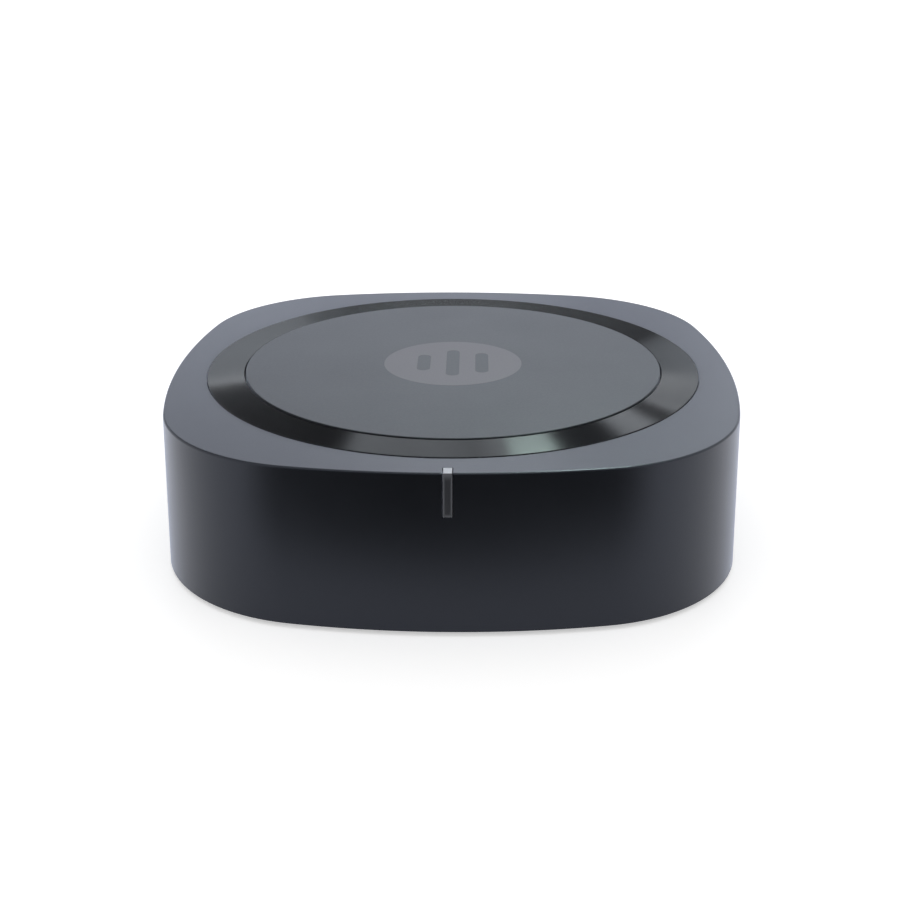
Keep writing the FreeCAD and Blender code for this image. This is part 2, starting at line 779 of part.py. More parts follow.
def aux_jack_bush():
    back = jack_front_y - aux_bush_length
    hole = rod_y(aux_x, aux_z, back - 1, jack_front_y + 1, aux_bore)
    return rod_y(aux_x, aux_z, back, jack_front_y, aux_bush_radius).cut(hole)


dc_z = board_top + dc_above_board


def dc_jack_body():
    front, block_front = jack_front_y, jack_block_y
    case = block(dc_x, block_front - dc_body_length / 2, board_top,
                 dc_body_width, dc_body_length, dc_body_height)
    nose = rod_y(dc_x, dc_z, block_front - 0.5, front, dc_nose_radius)
    socket = rod_y(dc_x, dc_z, front - dc_bore_depth, front + 1, dc_bore)
    pin_hole = rod_y(dc_x, dc_z, front - dc_bore_depth - dc_root_length, front, dc_root_radius)
    return cut(fuse([case, nose]), [socket, pin_hole])


def dc_jack_pin():
    floor_y = jack_front_y - dc_bore_depth
    pin = rod_y(dc_x, dc_z, floor_y - 0.5, jack_front_y - dc_pin_sunk, dc_pin_radius)
    tip = [e for e in pin.Edges if len(e.Vertexes) == 1 and e.Vertexes[0].Y > floor_y]
    root = rod_y(dc_x, dc_z, floor_y - dc_root_length, floor_y, dc_root_radius)
    return fuse([pin.makeFillet(0.4, tip), root])


# ---------------------------------------------------------------- loudspeaker terminals

pivot_z = board_top + pivot_above_board
terminal_face_y = panel_face_y + terminal_flange
pivot_y = terminal_back_y + pivot_from_back
spring_leg_y = pivot_y + spring_leg_from_pivot
spring_top_z = pivot_z + spring_above_pivot
spring_tail_y = terminal_back_y - 0.4
spring_lip_z = pivot_z - lever_thickness / 2 - 0.3 - spring_strip / 2


def station_offsets():
    return [(k - (station_count - 1) / 2) * station_pitch for k in range(station_count)]


def terminal_body():
    low, high = board_top, board_top + terminal_height
    core = box(terminal_x - terminal_half, terminal_x + terminal_half, terminal_back_y, panel_face_y,
               low, high)
    flange = box(terminal_x - flange_half, terminal_x + flange_half, panel_face_y, terminal_face_y,
                 low - flange_margin_z, high + flange_margin_z)
    rim = [e for e in flange.Edges if all(abs(v.Y - terminal_face_y) < 1e-6 for v in e.Vertexes)]
    body = fuse([core, flange.makeChamfer(0.6, rim)])
    wire_z = pivot_z + wire_hole_above_pivot
    top_of_slot = pivot_z + lever_thickness / 2 + gap
    half_slot = lever_width / 2 + lever_side_gap
    half_pin = half_slot + pivot_pin_length
    half_bay = spring_width / 2 + spring_side_gap
    back, front = terminal_back_y - 1, terminal_face_y + 1
    tools = []
    for dx in station_offsets():
        x = terminal_x + dx
        tools.append(box(x - half_slot, x + half_slot, pivot_y - pivot_boss - 0.2, front, low + 1.0, top_of_slot))
        tools.append(rod_x(pivot_y, pivot_z, x - half_slot, x + half_slot, pivot_boss + 0.2))
        tools.append(rod_x(pivot_y, pivot_z, x - half_pin, x + half_pin, pivot_radius + pivot_gap))
        tools.append(box(x - half_bay, x + half_bay, pivot_y + 1.5, spring_leg_y + 1.0,
                         low + 1.0, spring_top_z + 0.6))
        tools.append(box(x - half_bay, x + half_bay, back, pivot_y + 2, spring_top_z - 0.5, spring_top_z + 0.5))
        tools.append(rod_y(x, wire_z, pivot_y + 2, front, wire_hole_radius))
        tools.append(Part.makeCone(wire_hole_radius, wire_hole_radius + wire_funnel + 0.2, 1.0 + wire_funnel,
                                   V(x, terminal_face_y - 1.0, wire_z), Y_AXIS))
    return cut(body, tools)


def terminal_lever(x):
    half = lever_width / 2
    low, high = pivot_z - lever_thickness / 2, pivot_z + lever_thickness / 2
    tip_y = terminal_face_y + lever_reach
    blade = box(x - half, x + half, pivot_y, tip_y, low, high)
    tip = [e for e in blade.Edges if all(abs(v.Y - tip_y) < 1e-6 for v in e.Vertexes)]
    blade = blade.makeFillet(0.7, tip)
    boss = rod_x(pivot_y, pivot_z, x - half, x + half, pivot_boss)
    half_pin = half + pivot_pin_length
    pin = rod_x(pivot_y, pivot_z, x - half_pin, x + half_pin, pivot_radius)
    half_pocket = spring_width / 2 + spring_side_gap
    pocket = box(x - half_pocket, x + half_pocket, spring_leg_y - 0.9, spring_leg_y + 0.7, low - 1, high + 1)
    grips = [rod_x(tip_y - 0.7 - 0.8 * k, high + 0.05, x - half + 0.5, x + half - 0.5, 0.22)
             for k in range(3)]
    return cut(fuse([blade, boss, pin]), [pocket] + grips)


def terminal_spring(x):
    """Sprung strip: soldered tail, bus bar over the wire, and a leg through the lever with a lip under it."""
    points = [(spring_tail_y, board_top + 0.6), (spring_tail_y, spring_top_z), (spring_leg_y, spring_top_z),
              (spring_leg_y, spring_lip_z), (spring_leg_y - 2.6, spring_lip_z)]
    strip = polyline_strip(points, spring_strip, x - spring_width / 2, x + spring_width / 2)
    tail = block(x, spring_tail_y, board_bottom - 1.0, 1.6, spring_strip, board_thickness + 2.0)
    wire_z = pivot_z + wire_hole_above_pivot
    window = box(x - 1.7, x + 1.7, spring_leg_y - 1, spring_leg_y + 1, wire_z + 0.3, wire_z + 2.4)
    return fuse([strip, tail]).cut(window)


def polyline_strip(points, thickness, x0, x1):
    """A strip folded sharply: each straight run is a flat box that shares its corners with the next."""
    h = thickness / 2
    runs = [box(x0, x1, min(a[0], b[0]) - h, max(a[0], b[0]) + h, min(a[1], b[1]) - h, max(a[1], b[1]) + h)
            for a, b in zip(points, points[1:])]
    return fuse(runs)


# ---------------------------------------------------------------- pairing button

def pair_button():
    back = panel_inner_y - button_gap - button_flange_thickness
    cap = rod_y(button_x, aux_z, back, panel_face_y + button_proud, button_radius)
    tip = [e for e in cap.Edges if len(e.Vertexes) == 1 and e.Vertexes[0].Y > panel_face_y]
    cap = cap.makeFillet(0.4, tip)
    return fuse([cap, rod_y(button_x, aux_z, back, back + button_flange_thickness, button_flange_radius)])


plunger_front_y = panel_inner_y - button_gap - button_flange_thickness - 0.05
switch_front_y = plunger_front_y - plunger_length


def pair_switch_plunger():
    return rod_y(button_x, aux_z, switch_front_y - 0.9, plunger_front_y, plunger_radius)


def pair_switch_body():
    half = switch_size / 2
    case = box(button_x - half, button_x + half, switch_front_y - switch_depth, switch_front_y,
               aux_z - half, aux_z + half)
    leg = switch_leg / 2
    legs = [box(button_x + s * half - leg, button_x + s * half + leg, switch_front_y - 2.0,
                switch_front_y - 0.8, board_top, aux_z + 1.0) for s in (-1, 1)]
    hole = rod_y(button_x, aux_z, switch_front_y - 0.9 - button_travel - 0.3, switch_front_y + 1,
                 plunger_radius + snug)
    return fuse([case] + legs).cut(hole)


# ---------------------------------------------------------------- write the pieces

def pieces():
    made = {
        "upper_housing": upper_housing(), "base_cover": base_cover(), "rear_panel": rear_panel(),
        "trim_ring": trim_ring(), "top_disc": top_disc(), "top_disc_tape": top_disc_tape(),
        "light_pipe": light_pipe(), "led_board": led_board(), "status_led": status_led(),
        "ir_receiver": ir_receiver(), "led_board_connector": led_board_connector(),
        "led_ribbon": led_ribbon(), "main_board": main_board(), "board_connector": board_connector(), "control_chip": control_chip(),
        "amp_chip": amp_chip(), "thermal_pad": thermal_pad(), "amp_heatsink": amp_heatsink(),
        "wireless_module": wireless_module(), "wireless_shield": wireless_shield(),
        "lan_transformer": lan_transformer(), "lan_jack_shell": lan_jack_shell(),
        "lan_jack_insert": lan_jack_insert(), "lan_jack_contacts": lan_jack_contacts(),
        "aux_jack_body": aux_jack_body(), "aux_jack_bush": aux_jack_bush(),
        "dc_jack_body": dc_jack_body(), "dc_jack_pin": dc_jack_pin(),
        "terminal_body": terminal_body(), "pair_button": pair_button(),
        "pair_switch_plunger": pair_switch_plunger(), "pair_switch_body": pair_switch_body(),
    }
    for name, side in (("left", -1), ("right", 1)):
        made["antenna_" + name] = aerial(side)
        made["antenna_lead_" + name] = aerial_lead(side)
    for k in range(coil_count):
        made["filter_coil_%d" % (k + 1)] = filter_coil(coil_first_x + k * coil_pitch, coil_y)
    for k in range(2):
        y = capacitor_first_y + k * capacitor_pitch
        made["bulk_capacitor_%d" % (k + 1)] = bulk_capacitor(capacitor_x, y)
    for k, dx in enumerate(station_offsets(), 1):
        made["terminal_lever_%d" % k] = terminal_lever(terminal_x + dx)
        made["terminal_spring_%d" % k] = terminal_spring(terminal_x + dx)
    foot_names = ("front_left", "front_right", "rear_left", "rear_right")
    for name, (x, y) in zip(foot_names, four_corners(foot_place, foot_place)):
        made["foot_" + name] = foot(x, y)
    made["case_screws"] = Part.makeCompound([case_screw(x, y) for x, y in four_corners(screw_x, screw_y)])
    made["board_screws"] = Part.makeCompound([board_screw(x, y) for x, y in board_screws_at()])
    return made


os.makedirs("parts", exist_ok=True)
for node, shape in pieces().items():
    assert shape.isValid() and shape.Volume > 0, node
    shape.exportStep("parts/%s.step" % node)
    print("%-22s solids %d  volume %9.2f mm3" % (node, len(shape.Solids), shape.Volume))
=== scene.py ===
import math

import bpy
from mathutils import Matrix, Vector


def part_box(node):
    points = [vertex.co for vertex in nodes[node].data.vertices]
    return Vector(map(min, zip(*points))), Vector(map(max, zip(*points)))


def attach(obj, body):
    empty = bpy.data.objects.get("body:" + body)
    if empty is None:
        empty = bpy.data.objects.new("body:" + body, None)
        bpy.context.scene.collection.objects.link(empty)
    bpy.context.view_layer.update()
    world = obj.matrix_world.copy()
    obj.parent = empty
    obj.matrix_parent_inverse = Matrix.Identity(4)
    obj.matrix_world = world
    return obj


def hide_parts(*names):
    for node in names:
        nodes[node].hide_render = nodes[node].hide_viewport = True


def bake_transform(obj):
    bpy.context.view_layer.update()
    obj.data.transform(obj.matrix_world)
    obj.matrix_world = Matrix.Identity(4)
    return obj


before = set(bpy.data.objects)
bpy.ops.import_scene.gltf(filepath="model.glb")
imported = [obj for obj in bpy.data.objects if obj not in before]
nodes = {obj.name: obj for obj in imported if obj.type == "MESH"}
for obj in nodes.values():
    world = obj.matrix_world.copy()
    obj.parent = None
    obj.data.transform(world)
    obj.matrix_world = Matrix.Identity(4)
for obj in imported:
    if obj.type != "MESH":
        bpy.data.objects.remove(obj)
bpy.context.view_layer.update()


# -------------------- case shell
# The case is one moulding in black plastic: a flat top and a wall with a slight draft, its outline four
# shallow side arcs and four corner arcs. It is hollow, with a pocket for the trim ring, a slot for the
# light bar and a framed bay at the rear. A fine spark-eroded grain makes the outside matte.

case_low, case_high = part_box("upper_housing")
panel_low, panel_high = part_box("rear_panel")
side_radius = 0.190
corner_radius = 0.0407
draft = 0.0011
case_wall = 0.0022
case_roof = 0.0025
case_top = case_high.z
case_rim = case_low.z
top_half_width = case_high.x - draft
steps_per_arc = 36


def outline_points(spread):
    """The case's outline at its top plane, moved outwards by spread."""
    side_centre = top_half_width - side_radius
    reach = side_radius - corner_radius
    corner_centre = (side_centre + math.sqrt(2 * reach ** 2 - side_centre ** 2)) / 2
    meet = math.atan2(corner_centre, corner_centre - side_centre)
    arcs = [(side_centre, 0, side_radius + spread, -meet, meet),
            (corner_centre, corner_centre, corner_radius + spread, meet, math.pi / 2 - meet)]
    points = []
    for quarter in range(4):
        turn = quarter * math.pi / 2
        for centre_x, centre_y, radius, first, last in arcs:
            for k in range(steps_per_arc):
                angle = first + (last - first) * k / steps_per_arc
                x, y = centre_x + radius * math.cos(angle), centre_y + radius * math.sin(angle)
                points.append((x * math.cos(turn) - y * math.sin(turn),
                               x * math.sin(turn) + y * math.cos(turn)))
    return points


def spread_at(z):
    """How far the drafted wall stands outside the top outline at height z."""
    return draft * (case_top - z) / (case_top - case_rim)


def edit(select="SELECT"):
    bpy.ops.object.mode_set(mode="EDIT")
    bpy.ops.mesh.select_all(action=select)


def leave_edit():
    bpy.ops.object.mode_set(mode="OBJECT")


def only(piece):
    """Makes piece the one active and selected object."""
    bpy.ops.object.select_all(action="DESELECT")
    bpy.context.view_layer.objects.active = piece
    piece.select_set(True)


def add_outline_block(name, low, high, low_spread, high_spread):
    """A closed block with the case's outline between two heights, with its own spread at each."""
    bpy.ops.object.select_all(action="DESELECT")
    above, below = outline_points(high_spread), outline_points(low_spread)
    bpy.ops.mesh.primitive_circle_add(vertices=len(above))
    piece = bpy.context.object
    piece.name = name
    for vertex, (x, y) in zip(piece.data.vertices, above):
        vertex.co = (x, y, high)
    edit()
    bpy.ops.mesh.extrude_region_move(TRANSFORM_OT_translate={"value": (0, 0, low - high)})
    bpy.ops.mesh.select_all(action="SELECT")
    bpy.ops.mesh.fill_holes(sides=0)
    bpy.ops.mesh.normals_make_consistent(inside=False)
    leave_edit()
    for vertex, (x, y) in zip(piece.data.vertices[len(above):], below):
        vertex.co = (x, y, low)
    return piece


def add_block(name, low, high):
    """A box between two corners, with its place in its mesh."""
    bpy.ops.object.select_all(action="DESELECT")
    bpy.ops.mesh.primitive_cube_add(size=1, location=(Vector(low) + Vector(high)) / 2)
    piece = bpy.context.object
    piece.scale = Vector(high) - Vector(low)
    bpy.ops.object.transform_apply(location=True, rotation=True, scale=True)
    piece.name = name
    return piece


def add_slab(name, x, half, y_ends, z_ends):
    """A box that reaches half to each side of x."""
    return add_block(name, (x - half, y_ends[0], z_ends[0]), (x + half, y_ends[1], z_ends[1]))


def add_rod(name, start, end, radius, sides=64):
    """A cylinder between two points on a line along X, Y or Z, with its place in its mesh."""
    bpy.ops.object.select_all(action="DESELECT")
    start, end = Vector(start), Vector(end)
    turn = (end - start).to_track_quat("Z", "Y").to_euler()
    bpy.ops.mesh.primitive_cylinder_add(vertices=sides, radius=radius, depth=(end - start).length,
                                        location=(start + end) / 2, rotation=turn)
    piece = bpy.context.object
    bpy.ops.object.transform_apply(location=True, rotation=True, scale=True)
    piece.name = name
    return piece


def apply_boolean(piece, tool, operation):
    """Cuts piece with tool, or joins tool to it, and removes the tool."""
    only(piece)
    modifier = piece.modifiers.new(operation.lower(), "BOOLEAN")
    modifier.operation = operation
    modifier.solver = "EXACT"
    modifier.object = tool
    bpy.ops.object.modifier_apply(modifier=modifier.name)
    bpy.data.objects.remove(tool)


def cut(piece, *tools):
    for tool in tools:
        apply_boolean(piece, tool, "DIFFERENCE")


def join_on(piece, *parts):
    for part in parts:
        apply_boolean(piece, part, "UNION")


def bevel_edges(piece, keep, width, segments):
    """Bevels the edges whose two ends both pass the test keep(co)."""
    edit("DESELECT")
    bpy.ops.mesh.select_mode(type="EDGE")
    leave_edit()
    vertices = piece.data.vertices
    for edge in piece.data.edges:
        edge.select = all(keep(vertices[v].co) for v in edge.vertices)
    bpy.ops.object.mode_set(mode="EDIT")
    bpy.ops.mesh.bevel(offset=width, segments=segments, affect="EDGES")
    leave_edit()


def round_off(piece, width, segments=2, angle=40):
    """Rounds every edge sharper than angle, and shades the piece so that its flats stay flat."""
    only(piece)
    modifier = piece.modifiers.new("round", "BEVEL")
    modifier.width = width
    modifier.segments = segments
    modifier.limit_method = "ANGLE"
    modifier.angle_limit = math.radians(angle)
    modifier.miter_outer = "MITER_ARC"
    bpy.ops.object.modifier_apply(modifier=modifier.name)
    shade(piece, angle)


def shade(piece, angle=40):
    only(piece)
    bpy.ops.object.shade_smooth_by_angle(angle=math.radians(angle))
    modifier = piece.modifiers.new("flats", "WEIGHTED_NORMAL")
    modifier.keep_sharp = True
    bpy.ops.object.modifier_apply(modifier=modifier.name)


def new_material(name):
    material = bpy.data.materials.new(name)
    material.use_nodes = True
    return material, material.node_tree, material.node_tree.nodes["Principled BSDF"]


def set_inputs(node, values):
    """Sets inputs that no other node feeds."""
    for name, value in values.items():
        node.inputs[name].default_value = value


def object_noise(tree, scale, detail=2.0, stretch=(1, 1, 1)):
    """Noise in the piece's own metres. Stretch draws it out along an axis where it is under 1."""
    place = tree.nodes.new("ShaderNodeTexCoord")
    mapping = tree.nodes.new("ShaderNodeMapping")
    mapping.inputs["Scale"].default_value = stretch
    noise = tree.nodes.new("ShaderNodeTexNoise")
    set_inputs(noise, {"Scale": scale, "Detail": detail})
    tree.links.new(place.outputs["Object"], mapping.inputs["Vector"])
    tree.links.new(mapping.outputs["Vector"], noise.inputs["Vector"])
    return noise.outputs["Fac"]


def spread_value(tree, source, low, high, start=0.3, end=0.7):
    """Maps start..end of a value, which is the middle of a noise's range, to low..high."""
    ramp = tree.nodes.new("ShaderNodeMapRange")
    set_inputs(ramp, {"From Min": start, "From Max": end, "To Min": low, "To Max": high})
    tree.links.new(source, ramp.inputs["Value"])
    return ramp.outputs["Result"]


def combine(tree, operation, *values):
    """A Math node's result for values that are numbers or other nodes' outputs."""
    node = tree.nodes.new("ShaderNodeMath")
    node.operation = operation
    for socket, value in zip(node.inputs, values):
        if isinstance(value, float):
            socket.default_value = value
        else:
            tree.links.new(value, socket)
    return node.outputs["Value"]


def drift_colour(tree, shader, source, first, second):
    """Lets the colour drift between two shades with a noise."""
    mix = tree.nodes.new("ShaderNodeMix")
    mix.data_type = "RGBA"
    set_inputs(mix, {"A": (*first, 1), "B": (*second, 1)})
    tree.links.new(source, mix.inputs["Factor"])
    tree.links.new(mix.outputs["Result"], shader.inputs["Base Color"])


def add_bump(tree, shader, heights):
    """Chains bumps, each (height, depth in metres), into the shader's normal."""
    normal = None
    for height, depth in heights:
        bump = tree.nodes.new("ShaderNodeBump")
        bump.inputs["Distance"].default_value = depth
        tree.links.new(height, bump.inputs["Height"])
        if normal:
            tree.links.new(normal, bump.inputs["Normal"])
        normal = bump.outputs["Normal"]
    tree.links.new(normal, shader.inputs["Normal"])


def moulded_plastic(name, dark, light, roughness, grain=2600, depth=0.00001, haze=0.0, tint=(1, 1, 1)):
    """Moulded plastic: two near shades, a spark-eroded grain, and roughness that varies a little."""
    material, tree, shader = new_material(name)
    slow = object_noise(tree, 35, 3)
    drift_colour(tree, shader, spread_value(tree, slow, 0, 1), dark, light)
    fine = object_noise(tree, grain, 3)
    rough = combine(tree, "MULTIPLY", spread_value(tree, slow, roughness * 0.94, roughness * 1.06),
                    spread_value(tree, fine, 0.95, 1.05))
    tree.links.new(rough, shader.inputs["Roughness"])
    add_bump(tree, shader, [(fine, depth)])
    set_inputs(shader, {"Sheen Weight": haze, "Sheen Roughness": 0.32, "Sheen Tint": (*tint, 1),
                        "Specular Tint": (*tint, 1)})
    return material


def finish_piece(piece, material, slot, *replaced, body="case"):
    """Gives a piece its material, its body and the CAD nodes that it stands for. The slot is not used."""
    piece.data.materials.clear()
    piece.data.materials.append(material)
    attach(piece, body)
    if replaced:
        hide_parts(*replaced)


case_black = moulded_plastic("case_black", (0.0040, 0.0045, 0.0058), (0.0054, 0.0060, 0.0074), 0.36,
                             haze=1.0, tint=(0.74, 0.80, 1.0))

edge_round = 0.0005
pocket_radius = 0.06315
pocket_depth = 0.0013
bay_half = panel_high.x - 0.001
bay_top = panel_high.z - 0.001
bay_wall = 0.002
bay_back = panel_high.y + 0.0001
ceiling = case_top - case_roof
slot_half = 0.00115
slot_low = case_top - 0.01025
slot_back = -(top_half_width - 0.00295)
outside = 0.09
led_low, led_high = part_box("led_board")
screws_low, screws_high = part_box("case_screws")
head_radius = 0.0028
screw_x = screws_high.x - head_radius
screw_y = screws_high.y - head_radius
boss_radius = 0.0042
boss_foot = 0.0062
post_half = 0.0022
ring_stud_place = 0.0583
disc_stud_place = 0.0340


def four_places(x, y):
    return [(-x, -y), (x, -y), (-x, y), (x, y)]


def on_circle(radius, count, first_degrees):
    angles = [math.radians(first_degrees + 360 * k / count) for k in range(count)]
    return [(radius * math.cos(angle), radius * math.sin(angle)) for angle in angles]


case_shell = add_outline_block("case_shell", case_rim, case_top, draft, 0)
bevel_edges(case_shell, lambda co: co.z > case_top - 1e-6, edge_round, 5)
hollow = add_outline_block("hollow", case_rim - 0.001, ceiling,
                           draft - case_wall, spread_at(ceiling) - case_wall)
cut(hollow, add_block("bay_frame", (-bay_half - bay_wall, bay_back, 0.00385),
                      (bay_half + bay_wall, outside, bay_top + bay_wall)))
for x, y in four_places(screw_x, screw_y):
    cut(hollow, add_rod("boss", (x, y, boss_foot), (x, y, ceiling + 0.001), boss_radius, 48))
for side in (-1, 1):
    post_x = side * (led_high.x + 0.0008)
    cut(hollow, add_slab("board_post", post_x, post_half, (-outside, led_high.y + 0.0016),
                         (led_low.z, ceiling + 0.001)))
cut(case_shell, hollow,
    add_slab("bay_space", 0, bay_half, (bay_back, outside), (case_rim - 0.005, bay_top)),
    add_rod("pocket", (0, 0, case_top - pocket_depth), (0, 0, case_top + 0.005), pocket_radius, 256),
    add_slab("bar_slot", 0, slot_half, (-outside, slot_back), (slot_low, case_top + 0.005)),
    add_block("board_slot", led_low - Vector((0.00015, 0.0001, 0.001)),
              led_high + Vector((0.00015, 0.0001, 0.0001))))
for x, y in four_places(screw_x, screw_y):
    cut(case_shell, add_rod("pilot", (x, y, 0.005), (x, y, 0.0202), 0.0015, 32))
for x, y in on_circle(ring_stud_place, 4, 45):
    cut(case_shell, add_rod("stud_hole", (x, y, ceiling - 0.001), (x, y, case_top), 0.0011, 32))
for x, y in on_circle(disc_stud_place, 3, 90):
    cut(case_shell, add_rod("stud_hole", (x, y, ceiling - 0.001), (x, y, case_top), 0.00135, 32))
round_off(case_shell, 0.00012)
finish_piece(case_shell, case_black, "case_plastic", "upper_housing")


# -------------------- trim ring
# A ring in gloss black plastic, turned with very fine concentric grooves, so that it throws its
# reflections out into bands that point at the middle. It stands a little proud of the case and of itself
# towards the disc, and its edges are broken by a hair's breadth.

ring_low, ring_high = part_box("trim_ring")
ring_outer = ring_high.x
ring_inner = 0.0536
ring_floor = case_top - pocket_depth
ring_proud = case_top + 0.0002
ring_rise = 0.0003
ring_break = 0.00012
groove_lean = 0.14


def add_lathe(name, profile, steps, centre=(0, 0, 0), axis="Z"):
    """Spins a closed profile of (radius, place along the axis) round Z or Y, and merges the seam."""
    bpy.ops.object.select_all(action="DESELECT")
    bpy.ops.mesh.primitive_circle_add(vertices=len(profile))
    piece = bpy.context.object
    piece.name = name
    for vertex, (radius, along) in zip(piece.data.vertices, profile):
        vertex.co = (centre[0] + radius, along, centre[2]) if axis == "Y" else (radius, 0, along)
    edit()
    bpy.ops.mesh.spin(steps=steps, angle=2 * math.pi, center=centre, axis=(0, axis == "Y", axis == "Z"))
    bpy.ops.mesh.select_all(action="SELECT")
    bpy.ops.mesh.remove_doubles(threshold=1e-6)
    bpy.ops.mesh.normals_make_consistent(inside=False)
    leave_edit()
    return piece


def unwrap_round(piece, name="round"):
    """A UV map with U outwards and V round the Z axis, whose seam is kept within one face."""
    layer = piece.data.uv_layers.new(name=name)
    for face in piece.data.polygons:
        middle = math.atan2(face.center.y, face.center.x)
        for corner in face.loop_indices:
            co = piece.data.vertices[piece.data.loops[corner].vertex_index].co
            turn = (math.atan2(co.y, co.x) - middle + math.pi) % (2 * math.pi) - math.pi + middle
            layer.data[corner].uv = (co.xy.length / ring_outer, turn / (2 * math.pi))


def grooved_gloss(name):
    material, tree, shader = new_material(name)
    grain = object_noise(tree, 900, 3)
    slow = object_noise(tree, 25, 2)
    drift_colour(tree, shader, spread_value(tree, slow, 0, 1), (0.006, 0.006, 0.007), (0.008, 0.008, 0.009))
    tree.links.new(spread_value(tree, grain, 0.215, 0.235), shader.inputs["Roughness"])
    tangent = tree.nodes.new("ShaderNodeTangent")
    tangent.direction_type = "UV_MAP"
    tangent.uv_map = "round"
    tree.links.new(tangent.outputs["Tangent"], shader.inputs["Tangent"])
    place = tree.nodes.new("ShaderNodeTexCoord")
    flat = tree.nodes.new("ShaderNodeVectorMath")
    flat.operation = "MULTIPLY"
    flat.inputs[1].default_value = (1, 1, 0)
    outwards = tree.nodes.new("ShaderNodeVectorMath")
    outwards.operation = "NORMALIZE"
    lean = tree.nodes.new("ShaderNodeVectorMath")
    lean.operation = "MULTIPLY_ADD"
    lean.inputs[1].default_value = (groove_lean, groove_lean, 0)
    surface = tree.nodes.new("ShaderNodeNewGeometry")
    tree.links.new(place.outputs["Object"], flat.inputs[0])
    tree.links.new(flat.outputs["Vector"], outwards.inputs[0])
    tree.links.new(outwards.outputs["Vector"], lean.inputs[0])
    tree.links.new(surface.outputs["Normal"], lean.inputs[2])
    tree.links.new(lean.outputs["Vector"], shader.inputs["Normal"])
    set_inputs(shader, {"Anisotropic": 1.0, "Specular Tint": (0.80, 0.90, 1.0, 1),
                        "Specular IOR Level": 0.32})
    return material


ring_profile = [(ring_inner, ring_floor), (ring_outer, ring_floor),
                (ring_outer, ring_proud - ring_break), (ring_outer - ring_break, ring_proud),
                (ring_inner + ring_break, ring_proud + ring_rise),
                (ring_inner, ring_proud + ring_rise - ring_break)]
trim_ring = add_lathe("ring_turned", ring_profile, 288)
for x, y in on_circle(ring_stud_place, 4, 45):
    join_on(trim_ring, add_rod("stud", (x, y, ring_low.z), (x, y, ring_floor + 0.0002), 0.001, 32))
shade(trim_ring, 30)
unwrap_round(trim_ring)
finish_piece(trim_ring, grooved_gloss("ring_black"), "ring_gloss", "trim_ring")


# -------------------- top disc
# A raised disc in the middle of the ring, moulded in black and painted a soft matte grey-black. Three
# studs locate it in the case, and a ring of double-sided tape holds it down.

disc_low, disc_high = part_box("top_disc")
disc_radius = disc_high.x
disc_top = disc_high.z
disc_floor = ring_floor + 0.0002
disc_round = 0.0002
ink = 0.00002

soft_paint = moulded_plastic("soft_paint", (0.0085, 0.0090, 0.0095), (0.0105, 0.0110, 0.0115), 0.5,
                             grain=1900, depth=0.000008, haze=0.60, tint=(0.76, 0.82, 0.98))

disc_plate = add_rod("disc_plate", (0, 0, disc_floor), (0, 0, disc_top - ink), disc_radius, 256)
bevel_edges(disc_plate, lambda co: co.z > disc_top - ink - 1e-6, disc_round, 4)
for x, y in on_circle(disc_stud_place, 3, 90):
    join_on(disc_plate, add_rod("stud", (x, y, disc_low.z), (x, y, disc_floor + 0.0002), 0.00125, 32))
shade(disc_plate, 40)
finish_piece(disc_plate, soft_paint, "disc_plastic", "top_disc")


# -------------------- roundel on the disc
# A pale grey roundel with three level bars left open in it, printed on the disc in one pass of ink. The
# print is a skin, thinner than a finger can feel, and it is a little smoother than the paint round it.

roundel_radius = 0.0178
bar_half = 0.0017
level_bars = [(-0.0075, 0.0046), (0.0, 0.0086), (0.0075, 0.0062)]

roundel = add_rod("roundel_print", (0, 0, disc_top - 2 * ink), (0, 0, disc_top), roundel_radius, 160)
for x, reach in level_bars:
    bar = add_slab("level_bar", x, bar_half, (-reach, reach), (disc_top - 0.001, disc_top + 0.001))
    for y in (-reach, reach):
        join_on(bar, add_rod("bar_end", (x, y, disc_top - 0.001), (x, y, disc_top + 0.001), bar_half, 32))
    cut(roundel, bar)
shade(roundel, 40)
pale_ink = moulded_plastic("pale_ink", (0.082, 0.080, 0.096), (0.092, 0.090, 0.106), 0.45,
                           grain=2200, depth=0.000004, haze=0.25, tint=(0.9, 0.92, 1.0))
finish_piece(roundel, pale_ink, "disc_plastic")


# -------------------- light bar
# One moulding in frosted clear plastic. The bar sits in the slot in the front edge, with its front
# following the wall and its top just proud of the case. Behind the wall it has a flange that is cemented
# to the inside, and a stem that takes the light from a small board.

bar_low, bar_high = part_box("light_pipe")
bar_proud = 0.00015
bar_width = 0.001
bar_foot = case_top - 0.0101
bar_back = -(top_half_width - 0.0028)
flange_front = -(top_half_width - 0.0024)
flange_back = flange_front + 0.0012
flange_top = ceiling - 0.00015
stem_middle = case_top - 0.0075

light_bar = add_slab("light_bar", 0, bar_width, (-0.08, bar_back), (bar_foot, bar_high.z))
for vertex in light_bar.data.vertices:
    if vertex.co.y < -0.075:
        vertex.co.y = -(top_half_width + bar_proud + max(spread_at(vertex.co.z), 0))
only(light_bar)
bevel_edges(light_bar, lambda co: co.y < -0.0715 or co.z > case_top, 0.00018, 3)
join_on(light_bar,
        add_slab("neck", 0, bar_width, (bar_back - 0.001, flange_back), (bar_foot, flange_top)),
        add_block("flange", (bar_low.x, flange_front, flange_top - 0.012),
                  (bar_high.x, flange_back, flange_top)),
        add_slab("stem", 0, bar_width, (flange_back - 0.0001, bar_high.y),
                 (stem_middle - 0.0015, stem_middle + 0.0015)))
shade(light_bar, 40)
frosted, tree, shader = new_material("frosted_clear")
# The base colour goes from dark to pale through masks. These are painted highlights along the bar's two
# sides, at its foot and just under its top, and brightest on its top face. They stand for light that falls on
# the bar and shows through the frosted plastic.
place = tree.nodes.new("ShaderNodeTexCoord")
axes = tree.nodes.new("ShaderNodeSeparateXYZ")
pale = tree.nodes.new("ShaderNodeMix")
pale.data_type = "RGBA"
set_inputs(pale, {"A": (0.036, 0.038, 0.045, 1), "B": (0.52, 0.54, 0.60, 1)})
